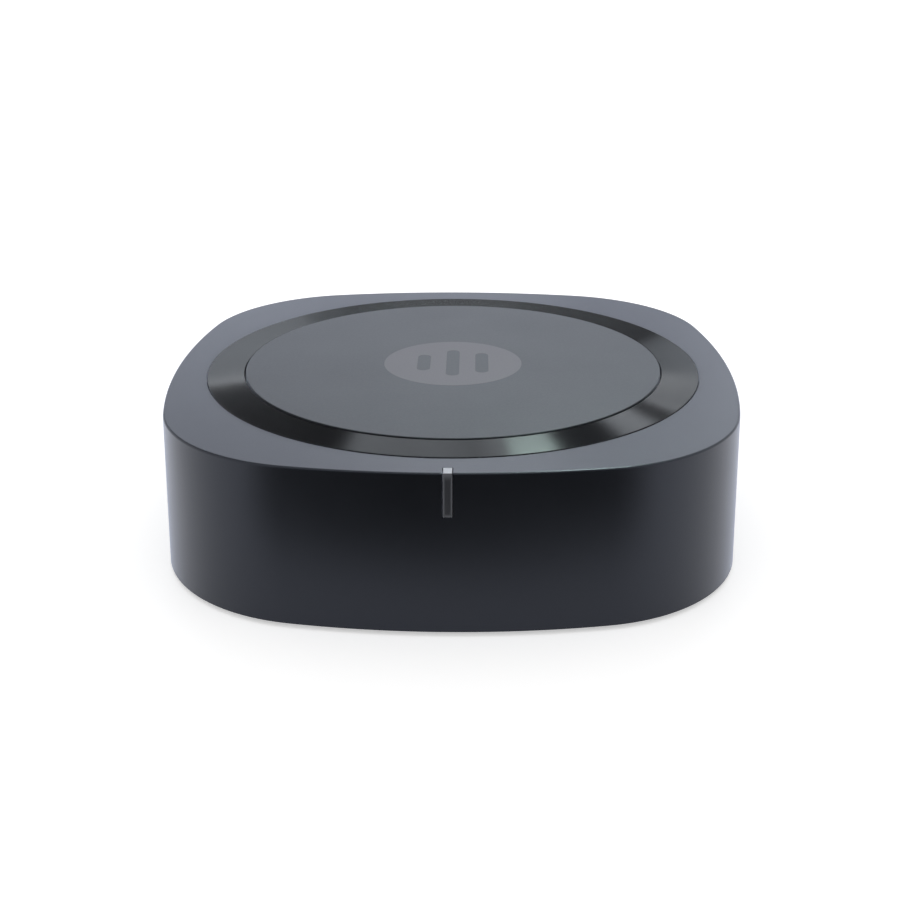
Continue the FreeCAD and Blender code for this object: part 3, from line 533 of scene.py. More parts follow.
tree.links.new(place.outputs["Object"], axes.inputs["Vector"])
across = combine(tree, "ABSOLUTE", axes.outputs["X"])
painted_highlight = 0.0
for source, start, end, most in ((across, 0.0005, 0.0009, 0.16),
                                 (axes.outputs["Z"], bar_foot + 0.0009, bar_foot + 0.0002, 0.14),
                                 (axes.outputs["Z"], case_top - 0.0016, case_top - 0.0004, 0.16),
                                 (axes.outputs["Z"], case_top - 0.0001, case_top + 0.0001, 0.95)):
    painted_highlight = combine(tree, "MAXIMUM", painted_highlight, spread_value(tree, source, 0, most, start, end))
tree.links.new(painted_highlight, pale.inputs["Factor"])
tree.links.new(pale.outputs["Result"], shader.inputs["Base Color"])
frost = object_noise(tree, 1800, 3)
tree.links.new(spread_value(tree, frost, 0.30, 0.42), shader.inputs["Roughness"])
add_bump(tree, shader, [(frost, 0.00002)])
shader.inputs["Transmission Weight"].default_value = 0.15
finish_piece(light_bar, frosted, "frosted_light", "light_pipe")


# -------------------- base cover
# A flat cover in matte black plastic closes the case from below. Its lip fits inside the wall, a sill
# fills the wall under the rear bay, and slots under the heatsink let warm air out. It has seats for the
# feet, wells for the four case screws, and standoffs for the main board.

base_plate_top = 0.0037
base_edge = draft - case_wall - 0.00025
lip_top = base_plate_top + 0.003
lip_thick = 0.0016
sill_top = 0.0054
in_plate = 0.0032
foot_radius = 0.007
foot_place = top_half_width - 0.0364
foot_seat = 0.0008
vent_half = 0.001
vent_pitch = 0.005
vent_top = 0.005
vent_reach = 0.017
vent_middle = -0.008
board_low, board_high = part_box("main_board")
panel_back = panel_low.y
board_screws_low, board_screws_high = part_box("board_screws")
board_screw_x = board_screws_high.x - 0.0024
board_screw_ys = (board_screws_low.y + 0.0024, board_screws_high.y - 0.0024)

base_black = moulded_plastic("base_black", (0.0075, 0.0075, 0.008), (0.0095, 0.0095, 0.010), 0.50,
                             grain=1500, depth=0.000014, haze=0.1)

base_cover = add_outline_block("base_plate", case_rim, base_plate_top, base_edge, base_edge)
lip = add_outline_block("lip", base_plate_top - 0.0005, lip_top, base_edge, base_edge)
cut(lip, add_outline_block("lip_inside", base_plate_top - 0.001, lip_top + 0.001,
                           base_edge - lip_thick, base_edge - lip_thick),
    add_slab("lip_rear", 0, outside, (panel_back - 0.008, outside), (0, 0.02)))
sill = add_outline_block("sill", case_rim, sill_top, draft, spread_at(sill_top))
cut(sill, add_slab("sill_front", 0, outside, (-outside, bay_back), (0, 0.02)),
    add_block("sill_left", (-outside, -outside, 0), (-bay_half + 0.00015, outside, 0.02)),
    add_block("sill_right", (bay_half - 0.00015, -outside, 0), (outside, outside, 0.02)))
join_on(base_cover, lip, sill)
for side in (-1, 1):
    keeper_x = side * (bay_half - 0.009)
    join_on(base_cover, add_slab("keeper", keeper_x, 0.007, (panel_back - 0.0016, panel_back - 0.0001),
                                 (in_plate, lip_top)))
for x, y in four_places(screw_x, screw_y):
    join_on(base_cover, add_rod("seat", (x, y, in_plate), (x, y, boss_foot), boss_radius, 48))
    cut(base_cover, add_rod("well", (x, y, 0), (x, y, 0.0044), head_radius + 0.00015, 48),
        add_rod("screw_hole", (x, y, 0), (x, y, 0.008), 0.00165, 32))
for side in (-1, 1):
    for y in board_screw_ys:
        x = side * board_screw_x
        join_on(base_cover, add_rod("standoff", (x, y, in_plate), (x, y, board_low.z), 0.0036, 40))
        cut(base_cover, add_rod("screw_hole", (x, y, board_screws_low.z - 0.0005),
                                (x, y, board_low.z + 0.001), 0.0013, 32))
for x, y in four_places(foot_place, foot_place):
    cut(base_cover, add_rod("foot_seat", (x, y, 0), (x, y, case_rim + foot_seat),
                            foot_radius + 0.00015, 64))
for k in range(9):
    x = (k - 4) * vent_pitch
    vent = add_slab("vent", x, vent_half, (vent_middle - vent_reach, vent_middle + vent_reach), (0, vent_top))
    for y in (vent_middle - vent_reach, vent_middle + vent_reach):
        join_on(vent, add_rod("vent_end", (x, y, 0), (x, y, vent_top), vent_half, 24))
    cut(base_cover, vent)
round_off(base_cover, 0.00015)
finish_piece(base_cover, base_black, "base_plastic", "base_cover")


# -------------------- feet
# Four round pads in soft black rubber, cemented into shallow seats in the base cover. The lower edge of
# each is rounded, and a fine moulded texture keeps it from shining.

foot_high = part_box("foot_front_left")[1]

rubber, tree, shader = new_material("foot_rubber")
speckle = object_noise(tree, 1400, 4)
drift_colour(tree, shader, spread_value(tree, speckle, 0, 1), (0.009, 0.009, 0.009), (0.015, 0.015, 0.014))
tree.links.new(spread_value(tree, speckle, 0.72, 0.88), shader.inputs["Roughness"])
add_bump(tree, shader, [(speckle, 0.00004)])

foot_names = ("front_left", "front_right", "rear_left", "rear_right")
for name, (x, y) in zip(foot_names, four_places(foot_place, foot_place)):
    foot = add_rod("pad_" + name, (x, y, 0), (x, y, foot_high.z), foot_radius, 72)
    bevel_edges(foot, lambda co: co.z < 1e-6, 0.0005, 4)
    shade(foot, 40)
    finish_piece(foot, rubber, "foot_rubber", "foot_" + name)


# -------------------- case screws
# Four self-tapping screws in blackened steel, with pan heads and cross recesses. They are driven from
# below through the base cover into bosses in the case.


def bare_metal(name, dark, light, low, high, scale, stretch=(1, 1, 1), detail=4, depth=0.00001):
    """Bare metal: two near shades, drawn out the way that it was rolled or extruded."""
    material, tree, shader = new_material(name)
    shader.inputs["Metallic"].default_value = 1.0
    lines = object_noise(tree, scale, detail, stretch)
    drift_colour(tree, shader, spread_value(tree, lines, 0, 1), dark, light)
    tree.links.new(spread_value(tree, lines, low, high), shader.inputs["Roughness"])
    add_bump(tree, shader, [(lines, depth)])
    return material


cross_reach = 0.0016
cross_half = 0.00045


def add_screw(name, x, y, head_z, head_radius, head_height, shank_radius, shank_low, shank_high,
              recess_depth):
    """A screw along Z. Its cross recess opens at head_z, and its head reaches head_height from there."""
    ends = sorted((head_z, head_z + head_height))
    screw = add_rod(name, (x, y, ends[0]), (x, y, ends[1]), head_radius, 48)
    bevel_edges(screw, lambda co: abs(co.z - head_z) < 1e-6, 0.0005, 4)
    join_on(screw, add_rod("shank", (x, y, shank_low), (x, y, shank_high), shank_radius, 32))
    deep = sorted((head_z - math.copysign(0.001, head_height), head_z + recess_depth))
    cross = add_slab("cross", x, cross_reach, (y - cross_half, y + cross_half), deep)
    join_on(cross, add_slab("bar", x, cross_half, (y - cross_reach, y + cross_reach), deep))
    cut(screw, cross)
    shade(screw, 40)
    return screw


def join_pieces(name, pieces):
    """Makes several pieces one object, without merging their meshes."""
    bpy.ops.object.select_all(action="DESELECT")
    for piece in pieces:
        piece.select_set(True)
    bpy.context.view_layer.objects.active = pieces[0]
    bpy.ops.object.join()
    pieces[0].name = name
    return pieces[0]


blackened = bare_metal("blackened_steel", (0.085, 0.085, 0.088), (0.14, 0.14, 0.14), 0.32, 0.45, 1200,
                       detail=3)
screws = [add_screw("screw", x, y, screws_low.z, head_radius, 0.002, 0.00145, 0.0043, screws_high.z, 0.0011)
          for x, y in four_places(screw_x, screw_y)]
finish_piece(join_pieces("cover_screws", screws), blackened, "screw_steel", "case_screws")
screws = [add_screw("screw", side * board_screw_x, y, board_screws_high.z, 0.0024, -0.0016, 0.00125,
                    board_screws_low.z, board_screws_high.z - 0.0015, -0.001)
          for side in (-1, 1) for y in board_screw_ys]
finish_piece(join_pieces("circuit_screws", screws), blackened, "screw_steel", "board_screws")


# -------------------- rear panel
# A plate in matte black plastic stands in the rear bay, keyed behind the frame at its sides and top. It
# has a window for each socket. Small raised plus and minus signs tell the two leads of each speaker.

term_low, term_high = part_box("terminal_body")
lan_low, lan_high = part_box("lan_jack_shell")
aux_low, aux_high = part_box("aux_jack_bush")
pin_low, pin_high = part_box("dc_jack_pin")
key_low, key_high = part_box("pair_button")
fit = 0.00015
core_left, core_right = term_low.x + 0.0016, term_high.x - 0.0016
core_bottom, core_top = term_low.z + 0.0012, term_high.z - 0.0012
panel_face = panel_high.y
aux_x, aux_z = (aux_low.x + aux_high.x) / 2, (aux_low.z + aux_high.z) / 2
dc_x, dc_z = (pin_low.x + pin_high.x) / 2, (pin_low.z + pin_high.z) / 2
key_x, key_z = (key_low.x + key_high.x) / 2, (key_low.z + key_high.z) / 2
station_pitch = 0.009
stations = [(core_left + core_right) / 2 + (k - 1.5) * station_pitch for k in range(4)]
far, near = panel_face + 0.005, panel_low.y - 0.005
sign_half = 0.00065
sign_line = 0.00016
sign_z = (term_high.z + bay_top) / 2

panel_black = moulded_plastic("panel_black", (0.009, 0.009, 0.0095), (0.012, 0.012, 0.0125), 0.46,
                              grain=1700, depth=0.000012, haze=0.1)
back_panel = add_block("back_panel", panel_low, panel_high)
sign_relief = (panel_face - 0.0002, panel_face + 0.0002)
for k, x in enumerate(stations):
    join_on(back_panel, add_slab("sign", x, sign_half, sign_relief, (sign_z - sign_line, sign_z + sign_line)))
    if k % 2 == 0:
        join_on(back_panel, add_slab("sign", x, sign_line, sign_relief,
                                     (sign_z - sign_half, sign_z + sign_half)))
cut(back_panel,
    add_block("terminal_window", (core_left - fit, near, core_bottom - fit),
              (core_right + fit, far, core_top + fit)),
    add_block("lan_window", (lan_low.x - fit, near, lan_low.z - fit),
              (lan_high.x + fit, far, lan_high.z + fit)),
    add_rod("aux_window", (aux_x, near, aux_z), (aux_x, far, aux_z), 0.00325, 96),
    add_rod("dc_window", (dc_x, near, dc_z), (dc_x, far, dc_z), 0.00425, 96),
    add_rod("key_window", (key_x, near, key_z), (key_x, far, key_z), 0.0022, 96))
round_off(back_panel, 0.00012)
finish_piece(back_panel, panel_black, "panel_plastic", "rear_panel")


# -------------------- loudspeaker terminals
# A block of four push-in stations, moulded in black. A wire goes into the round hole with a flared mouth,
# where a sprung strip grips it. The finger lever in the slot below, red for plus and black for minus,
# turns on two pins and pulls the strip down to let go of the wire.

lever_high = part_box("terminal_lever_1")[1]
pivot_y, pivot_z = 0.052552, 0.0173
flange_face = term_high.y
lever_half = 0.0034
lever_thick = 0.0011
slot_half_x = lever_half + 0.0002
pin_reach = 0.0007
groove_pitch = 0.0008
room = 0.001
spring_leg = pivot_y + 0.0053
spring_top = pivot_z + 0.0107
spring_bay = 0.00275
wire_z = pivot_z + 0.0073
wire_radius = 0.0016


def add_axle(name, x, half, radius, sides):
    """A cylinder along X on a lever's pivot line."""
    return add_rod(name, (x - half, pivot_y, pivot_z), (x + half, pivot_y, pivot_z), radius, sides)


terminal_black = moulded_plastic("terminal_black", (0.010, 0.010, 0.0105), (0.013, 0.013, 0.0135), 0.32,
                                 grain=1900, depth=0.000006)
terminals = add_block("terminal_flange", (term_low.x, panel_face, term_low.z), term_high)
bevel_edges(terminals, lambda co: co.y > flange_face - 1e-6, 0.0006, 1)
join_on(terminals, add_block("terminal_core", (core_left, term_low.y, core_bottom),
                             (core_right, panel_face + 0.0005, core_top)))
for x in stations:
    flare = add_rod("flare", (x, flange_face - 0.00158, wire_z), (x, flange_face + 0.0008, wire_z),
                    wire_radius, 48)
    for vertex in flare.data.vertices:
        spread = 1.625 if vertex.co.y > flange_face else 0.8
        vertex.co.x = x + (vertex.co.x - x) * spread
        vertex.co.z = wire_z + (vertex.co.z - wire_z) * spread
    cut(terminals,
        add_slab("lever_slot", x, slot_half_x, (pivot_y - 0.0019, far + 0.005),
                 (core_bottom + room, pivot_z + 0.00125)),
        add_axle("boss_room", x, slot_half_x, 0.0019, 48),
        add_axle("pin_room", x, slot_half_x + pin_reach, 0.00098, 32),
        add_slab("spring_room", x, spring_bay, (pivot_y + 0.0015, spring_leg + room),
                 (core_bottom + room, spring_top + 0.0006)),
        add_slab("strip_slot", x, spring_bay, (near - 0.01, pivot_y + 0.002),
                 (spring_top - 0.0005, spring_top + 0.0005)),
        add_rod("wire_hole", (x, pivot_y + 0.002, wire_z), (x, far + 0.005, wire_z), wire_radius, 48),
        flare)
round_off(terminals, 0.0001)
finish_piece(terminals, terminal_black, "terminal_plastic", "terminal_body")

lever_red = moulded_plastic("lever_red", (0.36, 0.012, 0.012), (0.42, 0.017, 0.015), 0.34,
                            grain=1900, depth=0.000005)
lever_black = moulded_plastic("lever_black", (0.011, 0.011, 0.0115), (0.015, 0.015, 0.0155), 0.34,
                              grain=1900, depth=0.000005)


def add_lever(name, x):
    """One finger lever: blade with a rounded tip and three grip grooves, boss, pins, and spring pocket."""
    tip = lever_high.y
    lever = add_slab(name, x, lever_half, (pivot_y, tip), (pivot_z - lever_thick, pivot_z + lever_thick))
    bevel_edges(lever, lambda co: co.y > tip - 1e-6, 0.0007, 5)
    join_on(lever, add_axle("boss", x, lever_half, 0.0017, 48),
            add_axle("pin", x, lever_half + pin_reach, 0.0009, 32))
    cut(lever, add_slab("pocket", x, spring_bay, (spring_leg - 0.0009, spring_leg + 0.0007), (0, 0.1)))
    groove_half = lever_half - 0.0005
    groove_z = pivot_z + lever_thick + 0.00005
    for k in range(3):
        groove_y = tip - 0.0007 - groove_pitch * k
        cut(lever, add_rod("groove", (x - groove_half, groove_y, groove_z),
                           (x + groove_half, groove_y, groove_z), 0.00022, 24))
    round_off(lever, 0.0001)
    return lever


first_lever = add_lever("finger_lever_1", stations[0])
levers = [first_lever]
for k in (1, 2, 3):
    only(first_lever)
    bpy.ops.object.duplicate()
    lever = bpy.context.object
    lever.name = "finger_lever_%d" % (k + 1)
    bpy.ops.transform.translate(value=(stations[k] - stations[0], 0, 0))
    bpy.ops.object.transform_apply(location=True, rotation=True, scale=True)
    levers.append(lever)
for k, lever in enumerate(levers, 1):
    finish, slot = (lever_red, "lever_red") if k % 2 else (lever_black, "lever_black")
    finish_piece(lever, finish, slot, "terminal_lever_%d" % k, body="terminal_lever_%d" % k)


# -------------------- terminal springs
# One folded strip of spring steel in each station. Its tail is soldered into the board, its bar lies over
# the wire, and its leg goes down through the lever's pocket. In the real part the leg bends as the lever
# turns; here the strip is only cut across into bands along its height, and nothing bends it.

strip_half = 0.0025
strip_thick = 0.0002
tail_y = term_low.y - 0.0004
lip_z = pivot_z - lever_thick - 0.0005

sprung = bare_metal("sprung_steel", (0.50, 0.50, 0.49), (0.60, 0.60, 0.58), 0.25, 0.36, 600, (1, 1, 0.08))


def add_spring(name, x):
    """One strip: tail, bar, leg and lip, a pin for the board, and a window that the wire goes through."""
    tail_ends = (tail_y - strip_thick, tail_y + strip_thick)
    leg_end = spring_leg + strip_thick
    top = spring_top + strip_thick
    spring = add_slab(name, x, strip_half, tail_ends, (board_high.z + 0.0004, top))
    join_on(spring, add_slab("bar", x, strip_half, (tail_ends[0], leg_end), (spring_top - strip_thick, top)),
            add_slab("leg", x, strip_half, (spring_leg - strip_thick, leg_end), (lip_z - strip_thick, top)),
            add_slab("lip", x, strip_half, (spring_leg - 0.0028, leg_end),
                     (lip_z - strip_thick, lip_z + strip_thick)),
            add_slab("solder_pin", x, 0.0008, tail_ends, (board_low.z - 0.001, board_high.z + 0.001)))
    cut(spring, add_slab("wire_window", x, 0.0017, (spring_leg - 0.001, spring_leg + 0.001),
                         (wire_z + 0.0003, wire_z + 0.0024)))
    only(spring)
    for step in range(12):
        edit()
        bpy.ops.mesh.bisect(plane_co=(x, spring_leg, lip_z + 0.0008 + 0.0009 * step), plane_no=(0, 0, 1))
        leave_edit()
    shade(spring, 30)
    return spring


for k, x in enumerate(stations, 1):
    spring = add_spring("wire_spring_%d" % k, x)
    spring.data.materials.append(sprung)
    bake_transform(spring)
    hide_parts("terminal_spring_%d" % k)


# -------------------- network socket
# An eight-way socket: a folded shell in tinned steel round an insert moulded in black, with a comb of
# eight gilded wires under its roof. The real shell has two sprung fingers pressed out of its roof, which are
# not drawn here.

insert_low, insert_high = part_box("lan_jack_insert")
lan_middle = (lan_low.x + lan_high.x) / 2
contact_pitch = 0.00102
sheet = 0.0004
cavity_low = board_high.z + 0.004
cavity_high = cavity_low + 0.0069

tinned = bare_metal("tinned_steel", (0.56, 0.57, 0.58), (0.66, 0.66, 0.66), 0.24, 0.36, 300, (1, 0.08, 1),
                    depth=0.000008)

lan_shell = add_block("network_shell", lan_low, lan_high)
cut(lan_shell, add_block("inside", (lan_low.x + sheet, lan_low.y + sheet, lan_low.z - 0.001),
                         (lan_high.x - sheet, lan_high.y + 0.001, lan_high.z - sheet)))
round_off(lan_shell, 0.00012)
finish_piece(lan_shell, tinned, "tin_plate", "lan_jack_shell")

socket_black = moulded_plastic("socket_black", (0.011, 0.011, 0.012), (0.014, 0.014, 0.015), 0.38,
                               grain=2200, depth=0.000005)
lan_insert = add_block("network_insert", insert_low, insert_high)
cavity_ends = (insert_high.y - 0.014, far)
cavity = add_slab("cavity", lan_middle, 0.00595, cavity_ends, (cavity_low, cavity_high))
join_on(cavity, add_slab("latch_room", lan_middle, 0.0031, cavity_ends,
                         (cavity_low - 0.0019, cavity_low + 0.0001)))
cut(lan_insert, cavity)
for k in range(8):
    x = lan_middle + (k - 3.5) * contact_pitch
    cut(lan_insert, add_slab("comb_slot", x, 0.0003, (insert_high.y - 0.015, insert_high.y - 0.0015),
                             (cavity_high - 0.0001, cavity_high + 0.001)))
round_off(lan_insert, 0.0001)
finish_piece(lan_insert, socket_black, "socket_plastic", "lan_jack_insert")


# -------------------- line input and power sockets
# Two moulded blocks on the board, each with a round nose that shows in the panel. The line input has a
# bright bush pressed into its nose. The power inlet has a bare pin in the middle of its bore.

aux_body_low, aux_body_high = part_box("aux_jack_body")
dc_body_low, dc_body_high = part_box("dc_jack_body")
block_front = panel_back - 0.0003


def add_socket(name, low, high, x, z, nose_radius, bores):
    """A block with a round nose along Y, and bores, each (radius, how deep from the nose's face)."""
    socket = add_block(name, low, (high.x, block_front, high.z))
    nose = add_rod("nose", (x, block_front - 0.0005, z), (x, high.y, z), nose_radius, 96)
    bevel_edges(nose, lambda co: co.y > high.y - 1e-6, 0.0002, 2)
    join_on(socket, nose)
    for radius, deep in bores:
        cut(socket, add_rod("bore", (x, high.y - deep, z), (x, far, z), radius, 80))
    round_off(socket, 0.0001)
    return socket


aux_socket = add_socket("line_input", aux_body_low, aux_body_high, aux_x, aux_z, 0.0031,
                        [(0.00255, 0.004), (0.002, 0.0128)])
finish_piece(aux_socket, socket_black, "socket_plastic", "aux_jack_body")
dc_socket = add_socket("power_inlet", dc_body_low, dc_body_high, dc_x, dc_z, 0.0041,
                       [(0.00315, 0.010), (0.0014, 0.013)])
finish_piece(dc_socket, socket_black, "socket_plastic", "dc_jack_body")


def add_turned(name, x, z, profile):
    """A small turned or moulded piece round a line along Y."""
    piece = add_lathe(name, profile, 80, (x, 0, z), "Y")
    shade(piece, 35)
    return piece


bush_front = aux_high.y
bush = add_turned("input_bush", aux_x, aux_z,
                  [(0.0018, aux_low.y), (0.00255, aux_low.y), (0.00255, bush_front - 0.00015),
                   (0.0024, bush_front), (0.0021, bush_front), (0.0018, bush_front - 0.0003)])
finish_piece(bush, tinned, "tin_plate", "aux_jack_bush")
pin_back, pin_tip = pin_low.y, pin_high.y
pin = add_turned("inlet_pin", dc_x, dc_z,
                 [(0.0, pin_back), (0.0014, pin_back), (0.0014, pin_back + 0.003), (0.001, pin_back + 0.003),
                  (0.001, pin_tip - 0.0004), (0.00088, pin_tip - 0.00012), (0.0006, pin_tip), (0.0, pin_tip)])
finish_piece(pin, tinned, "tin_plate", "dc_jack_pin")


# -------------------- pairing button
# A small round key in satin grey plastic. A flange behind the panel keeps it in, and it works a switch
# on the board through a short plunger.

key_back = key_low.y
key_tip = key_high.y
key_grey = moulded_plastic("key_grey", (0.030, 0.030, 0.031), (0.038, 0.038, 0.039), 0.40,
                           grain=2300, depth=0.000006)
button = add_turned("round_key", key_x, key_z,
                    [(0.0, key_back), (0.0029, key_back), (0.0029, key_back + 0.001),
                     (0.002, key_back + 0.001), (0.002, key_tip - 0.0004), (0.00188, key_tip - 0.00012),
                     (0.0016, key_tip), (0.0009, key_tip - 0.00012), (0.0, key_tip - 0.00018)])
finish_piece(button, key_grey, "button_plastic", "pair_button", body="pair_button")


# -------------------- main board and what stands on it
# A green board with its tracks under a lacquer, and on it the amplifier chip under a finned heatsink, the
# chokes and reservoir capacitors, the radio module in its tin screen, and the connectors.


def keep(material, *names):
    """Leaves CAD nodes as they are made, with a finish of their own."""
    for name in names:
        nodes[name].data.materials.clear()
        nodes[name].data.materials.append(material)
        for slot_used in nodes[name].material_slots:
            slot_used.material = material


lacquer, tree, shader = new_material("board_lacquer")
place = tree.nodes.new("ShaderNodeTexCoord")
tracks = tree.nodes.new("ShaderNodeTexBrick")
set_inputs(tracks, {"Scale": 90, "Mortar Size": 0.03, "Color1": (0.012, 0.085, 0.035, 1),
                    "Color2": (0.010, 0.070, 0.030, 1), "Mortar": (0.020, 0.14, 0.055, 1)})
tree.links.new(place.outputs["Object"], tracks.inputs["Vector"])
tree.links.new(tracks.outputs["Color"], shader.inputs["Base Color"])
weave = object_noise(tree, 900, 2)
tree.links.new(spread_value(tree, weave, 0.26, 0.36), shader.inputs["Roughness"])
add_bump(tree, shader, [(tracks.outputs["Fac"], 0.00002), (weave, 0.00001)])
keep(lacquer, "main_board", "led_board", "wireless_module")

keep(moulded_plastic("chip_black", (0.012, 0.012, 0.012), (0.018, 0.018, 0.018), 0.55, 2600, 0.00001),
     "control_chip", "amp_chip", "lan_transformer", "ir_receiver", "pair_switch_body")
keep(moulded_plastic("plug_cream", (0.62, 0.58, 0.48), (0.68, 0.64, 0.54), 0.42, 1800, 0.000006),
     "board_connector", "led_board_connector", "pair_switch_plunger", "led_ribbon")
keep(moulded_plastic("pad_grey", (0.20, 0.22, 0.25), (0.25, 0.27, 0.30), 0.8, 1300, 0.00002), "thermal_pad")
keep(moulded_plastic("ferrite", (0.030, 0.029, 0.028), (0.055, 0.053, 0.050), 0.7, 1500, 0.00003),
     "filter_coil_1", "filter_coil_2", "filter_coil_3", "filter_coil_4")
keep(moulded_plastic("sleeve", (0.012, 0.014, 0.024), (0.018, 0.020, 0.032), 0.28, 900, 0.00001),
     "bulk_capacitor_1", "bulk_capacitor_2")
keep(moulded_plastic("jacket", (0.022, 0.022, 0.022), (0.030, 0.030, 0.030), 0.45, 1600, 0.000008),
     "antenna_lead_left", "antenna_lead_right")
keep(moulded_plastic("led_white", (0.70, 0.68, 0.60), (0.78, 0.76, 0.68), 0.3, 1500, 0.000004), "status_led")
keep(moulded_plastic("tape", (0.50, 0.47, 0.38), (0.58, 0.55, 0.46), 0.6, 700, 0.00002), "top_disc_tape")
keep(bare_metal("anodised", (0.045, 0.045, 0.047), (0.065, 0.065, 0.067), 0.40, 0.52, 700, (1, 0.05, 1)),
     "amp_heatsink")
keep(bare_metal("foil", (0.80, 0.52, 0.28), (0.88, 0.60, 0.34), 0.30, 0.42, 500, (0.1, 1, 1)),
     "antenna_left", "antenna_right")
keep(bare_metal("gilt", (0.86, 0.62, 0.25), (0.93, 0.70, 0.32), 0.20, 0.30, 900, (1, 0.1, 1)),
     "lan_jack_contacts")
keep(tinned, "wireless_shield")


# -------------------- camera
# The camera stands in front of the receiver and above it, a third of a metre away.

camera_place = Vector((-0.0008, -0.3314, 0.1500))
camera_tilt = math.radians(22.1528)
camera_turn = math.radians(1.0682)
camera_roll = math.radians(-0.1215)

camera = bpy.data.objects.new("camera", bpy.data.cameras.new("camera"))
bpy.context.scene.collection.objects.link(camera)
bpy.context.scene.camera = camera
camera.data.sensor_width = 36
camera.data.lens = 53.66
camera.data.clip_start = 0.01
camera.matrix_world = (Matrix.Rotation(camera_turn, 4, "Z") @ Matrix.Translation(camera_place)
                       @ Matrix.Rotation(math.pi / 2 - camera_tilt, 4, "X")
                       @ Matrix.Rotation(camera_roll, 4, "Z"))


# -------------------- floor and surround
# A pale sweep of paper under and behind the receiver, lit so that it is white where no shadow falls.


def seen_directly(tree):
    """1 for rays that show the studio itself: straight, by reflection or through something clear."""
    path = tree.nodes.new("ShaderNodeLightPath").outputs
    straight_or_mirrored = combine(tree, "MAXIMUM", path["Is Camera Ray"], path["Is Glossy Ray"])
    return combine(tree, "MAXIMUM", straight_or_mirrored, path["Is Transmission Ray"])


bpy.ops.object.select_all(action="DESELECT")
bpy.ops.mesh.primitive_plane_add(size=12)
floor = bpy.context.object
floor.name = "floor"
paper, tree, shader = new_material("paper")
set_inputs(shader, {"Base Color": (0.86, 0.86, 0.86, 1), "Roughness": 0.95, "Specular IOR Level": 0.0,
                    "Emission Color": (1, 1, 1, 1)})
lift = combine(tree, "MULTIPLY", seen_directly(tree), 0.46)
tree.links.new(lift, shader.inputs["Emission Strength"])
floor.data.materials.append(paper)

world = bpy.data.worlds.new("surround")
bpy.context.scene.world = world
world.use_nodes = True
world.cycles.sampling_method = "NONE"
tree = world.node_tree
level = spread_value(tree, seen_directly(tree), 0.78, 1.0, 0, 1)
tree.links.new(level, tree.nodes["Background"].inputs["Strength"])
tree.nodes["Background"].inputs["Color"].default_value = (1, 1, 1, 1)


# -------------------- lamps, flags and cards
# A large soft lamp stands behind and above. Black flags and pale cards round the receiver, which only
# its gloss can see, give the wall its dark upper part and the ring its bands.


def add_softbox(name, place, aim, width, height, watts):
    lamp = bpy.data.lights.new(name, "AREA")
    lamp.shape = "RECTANGLE"
    lamp.size = width
    lamp.size_y = height
    lamp.energy = watts
    lamp.color = (0.88, 0.93, 1.0)
    rig = bpy.data.objects.new(name, lamp)
    bpy.context.scene.collection.objects.link(rig)
    rig.location = place
    rig.rotation_mode = "QUATERNION"
    rig.rotation_quaternion = (Vector(aim) - Vector(place)).to_track_quat("-Z", "Y")


def add_card(name, points, columns, colour, strength):
    """A card through a grid of points, listed row by row, that only the gloss of the pieces can see."""
    rows = len(points) // columns
    bpy.ops.object.select_all(action="DESELECT")
    bpy.ops.mesh.primitive_grid_add(x_subdivisions=columns - 1, y_subdivisions=rows - 1)
    card = bpy.context.object
    card.name = name
    for vertex, point in zip(card.data.vertices, points):
        vertex.co = point
    material, tree, shader = new_material(name)
    set_inputs(shader, {"Base Color": (0, 0, 0, 1), "Specular IOR Level": 0.0,
                        "Emission Color": (*colour, 1), "Emission Strength": strength})
    material.cycles.emission_sampling = "NONE"
    card.data.materials.append(material)
    card.visible_camera = card.visible_diffuse = card.visible_shadow = False
    card.visible_transmission = card.visible_volume_scatter = False


def ring_sees(turn, leans, distance):
    """Points at a distance in the directions that the ring, at one azimuth, mirrors to the camera, for
    groove walls that lean outwards by some degrees."""
    out = Vector((math.cos(math.radians(turn)), math.sin(math.radians(turn)), 0))
    spot = out * ring_stud_place + Vector((0, 0, case_top))
    sight = (camera.matrix_world.translation - spot).normalized()
    points = []
    for lean in leans:
        normal = Vector((0, 0, math.cos(math.radians(lean)))) + out * math.sin(math.radians(lean))
        points.append(spot + distance * (2 * sight.dot(normal) * normal - sight))
    return points


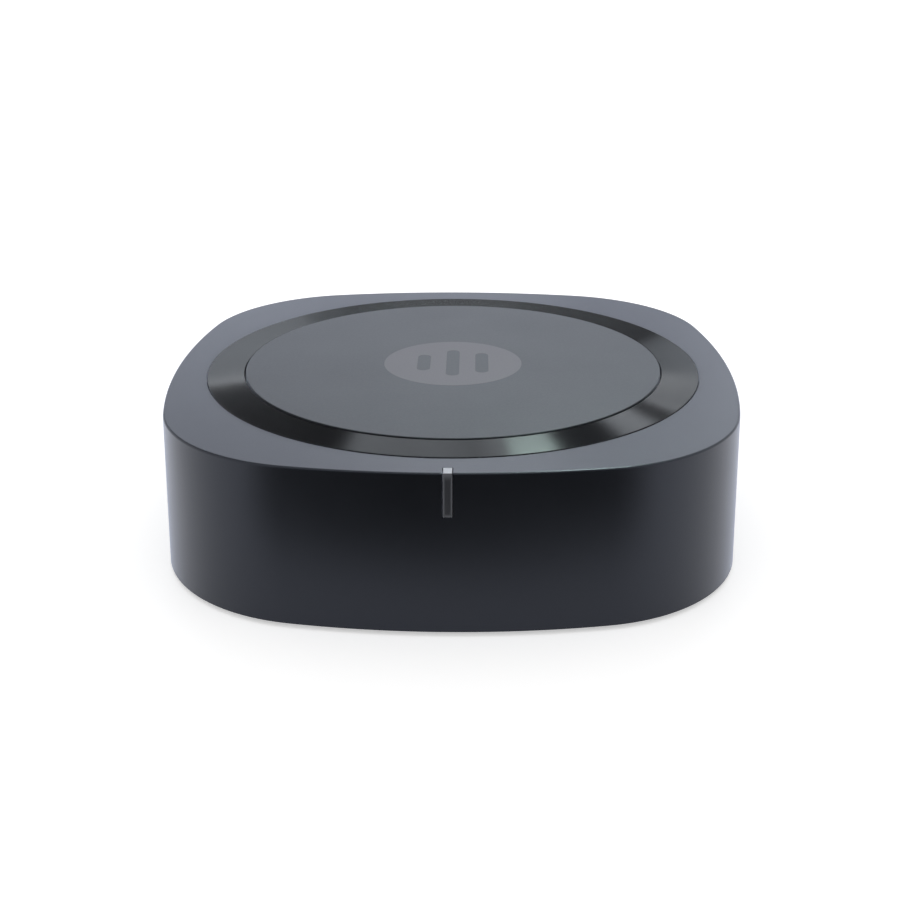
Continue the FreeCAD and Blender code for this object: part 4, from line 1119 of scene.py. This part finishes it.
def add_band_card(name, turns, leans, distance, colour, strength):
    points = [point for turn in turns for point in ring_sees(turn, leans, distance)]
    add_card(name, points, len(leans), colour, strength)


def sky_points(turns, rises, distance):
    """Points round the receiver, row by row: azimuths, counted from the right, at each elevation."""
    points = []
    for rise in rises:
        for turn in turns:
            flat = distance * math.cos(math.radians(rise))
            points.append((flat * math.cos(math.radians(turn)), flat * math.sin(math.radians(turn)),
                           distance * math.sin(math.radians(rise))))
    return points


black = (0, 0, 0)
cool = (0.84, 0.91, 1.0)
on_floor = 0.0004
beyond = 1.4

add_card("front_flag", [(-0.11, -0.112, on_floor), (0.11, -0.112, on_floor), (-0.45, -0.70, on_floor),
                        (0.45, -0.70, on_floor), (-0.55, -0.90, 0.60), (0.55, -0.90, 0.60)],
         2, black, 0.0)
add_card("rear_card", sky_points((35, 60, 80, 100, 120, 145), (0.1, 10, 19), 1.6), 6, cool, 0.62)
add_card("low_right_flag", sky_points((76.5, 81, 87), (0.1, 10, 24), 1.5), 3, black, 0.0)
add_card("low_rear_card", sky_points((87, 92, 98), (0.1, 10, 22), 1.5), 3, cool, 0.10)
add_card("floor_flag", [(-0.09, 0.16, on_floor), (0.09, 0.16, on_floor), (-0.25, 1.3, on_floor),
                        (0.25, 1.3, on_floor)], 2, black, 0.0)
add_band_card("left_flag", (-164, -150, -138, -126, -112), (-1, 4, 9, 16, 26, 38), beyond, black, 0.0)
add_band_card("right_flag", (-67, -60, -51), (0, 8, 16, 26, 36), beyond, (0.8, 0.9, 1.0), 0.08)
add_band_card("line_flag", (-40, -36, -32), (0, 8, 16, 26, 36), beyond, black, 0.0)
add_band_card("rear_left_flag", (115, 124, 137), (-16, -8, -2, 3, 8), beyond, cool, 0.18)
add_band_card("right_card", (-29, -18, -5), (10, 16, 26, 36), beyond, (0.90, 0.95, 1.0), 0.60)
add_band_card("mint_card", (-77, -72, -67), (17, 24, 34), 0.15, (0.80, 1.0, 0.86), 26.0)
add_softbox("rear_lamp", (0.0, 1.25, 0.80), (0, 0, 0.03), 1.5, 0.7, 6)

bpy.context.scene.view_settings.view_transform = "Standard"
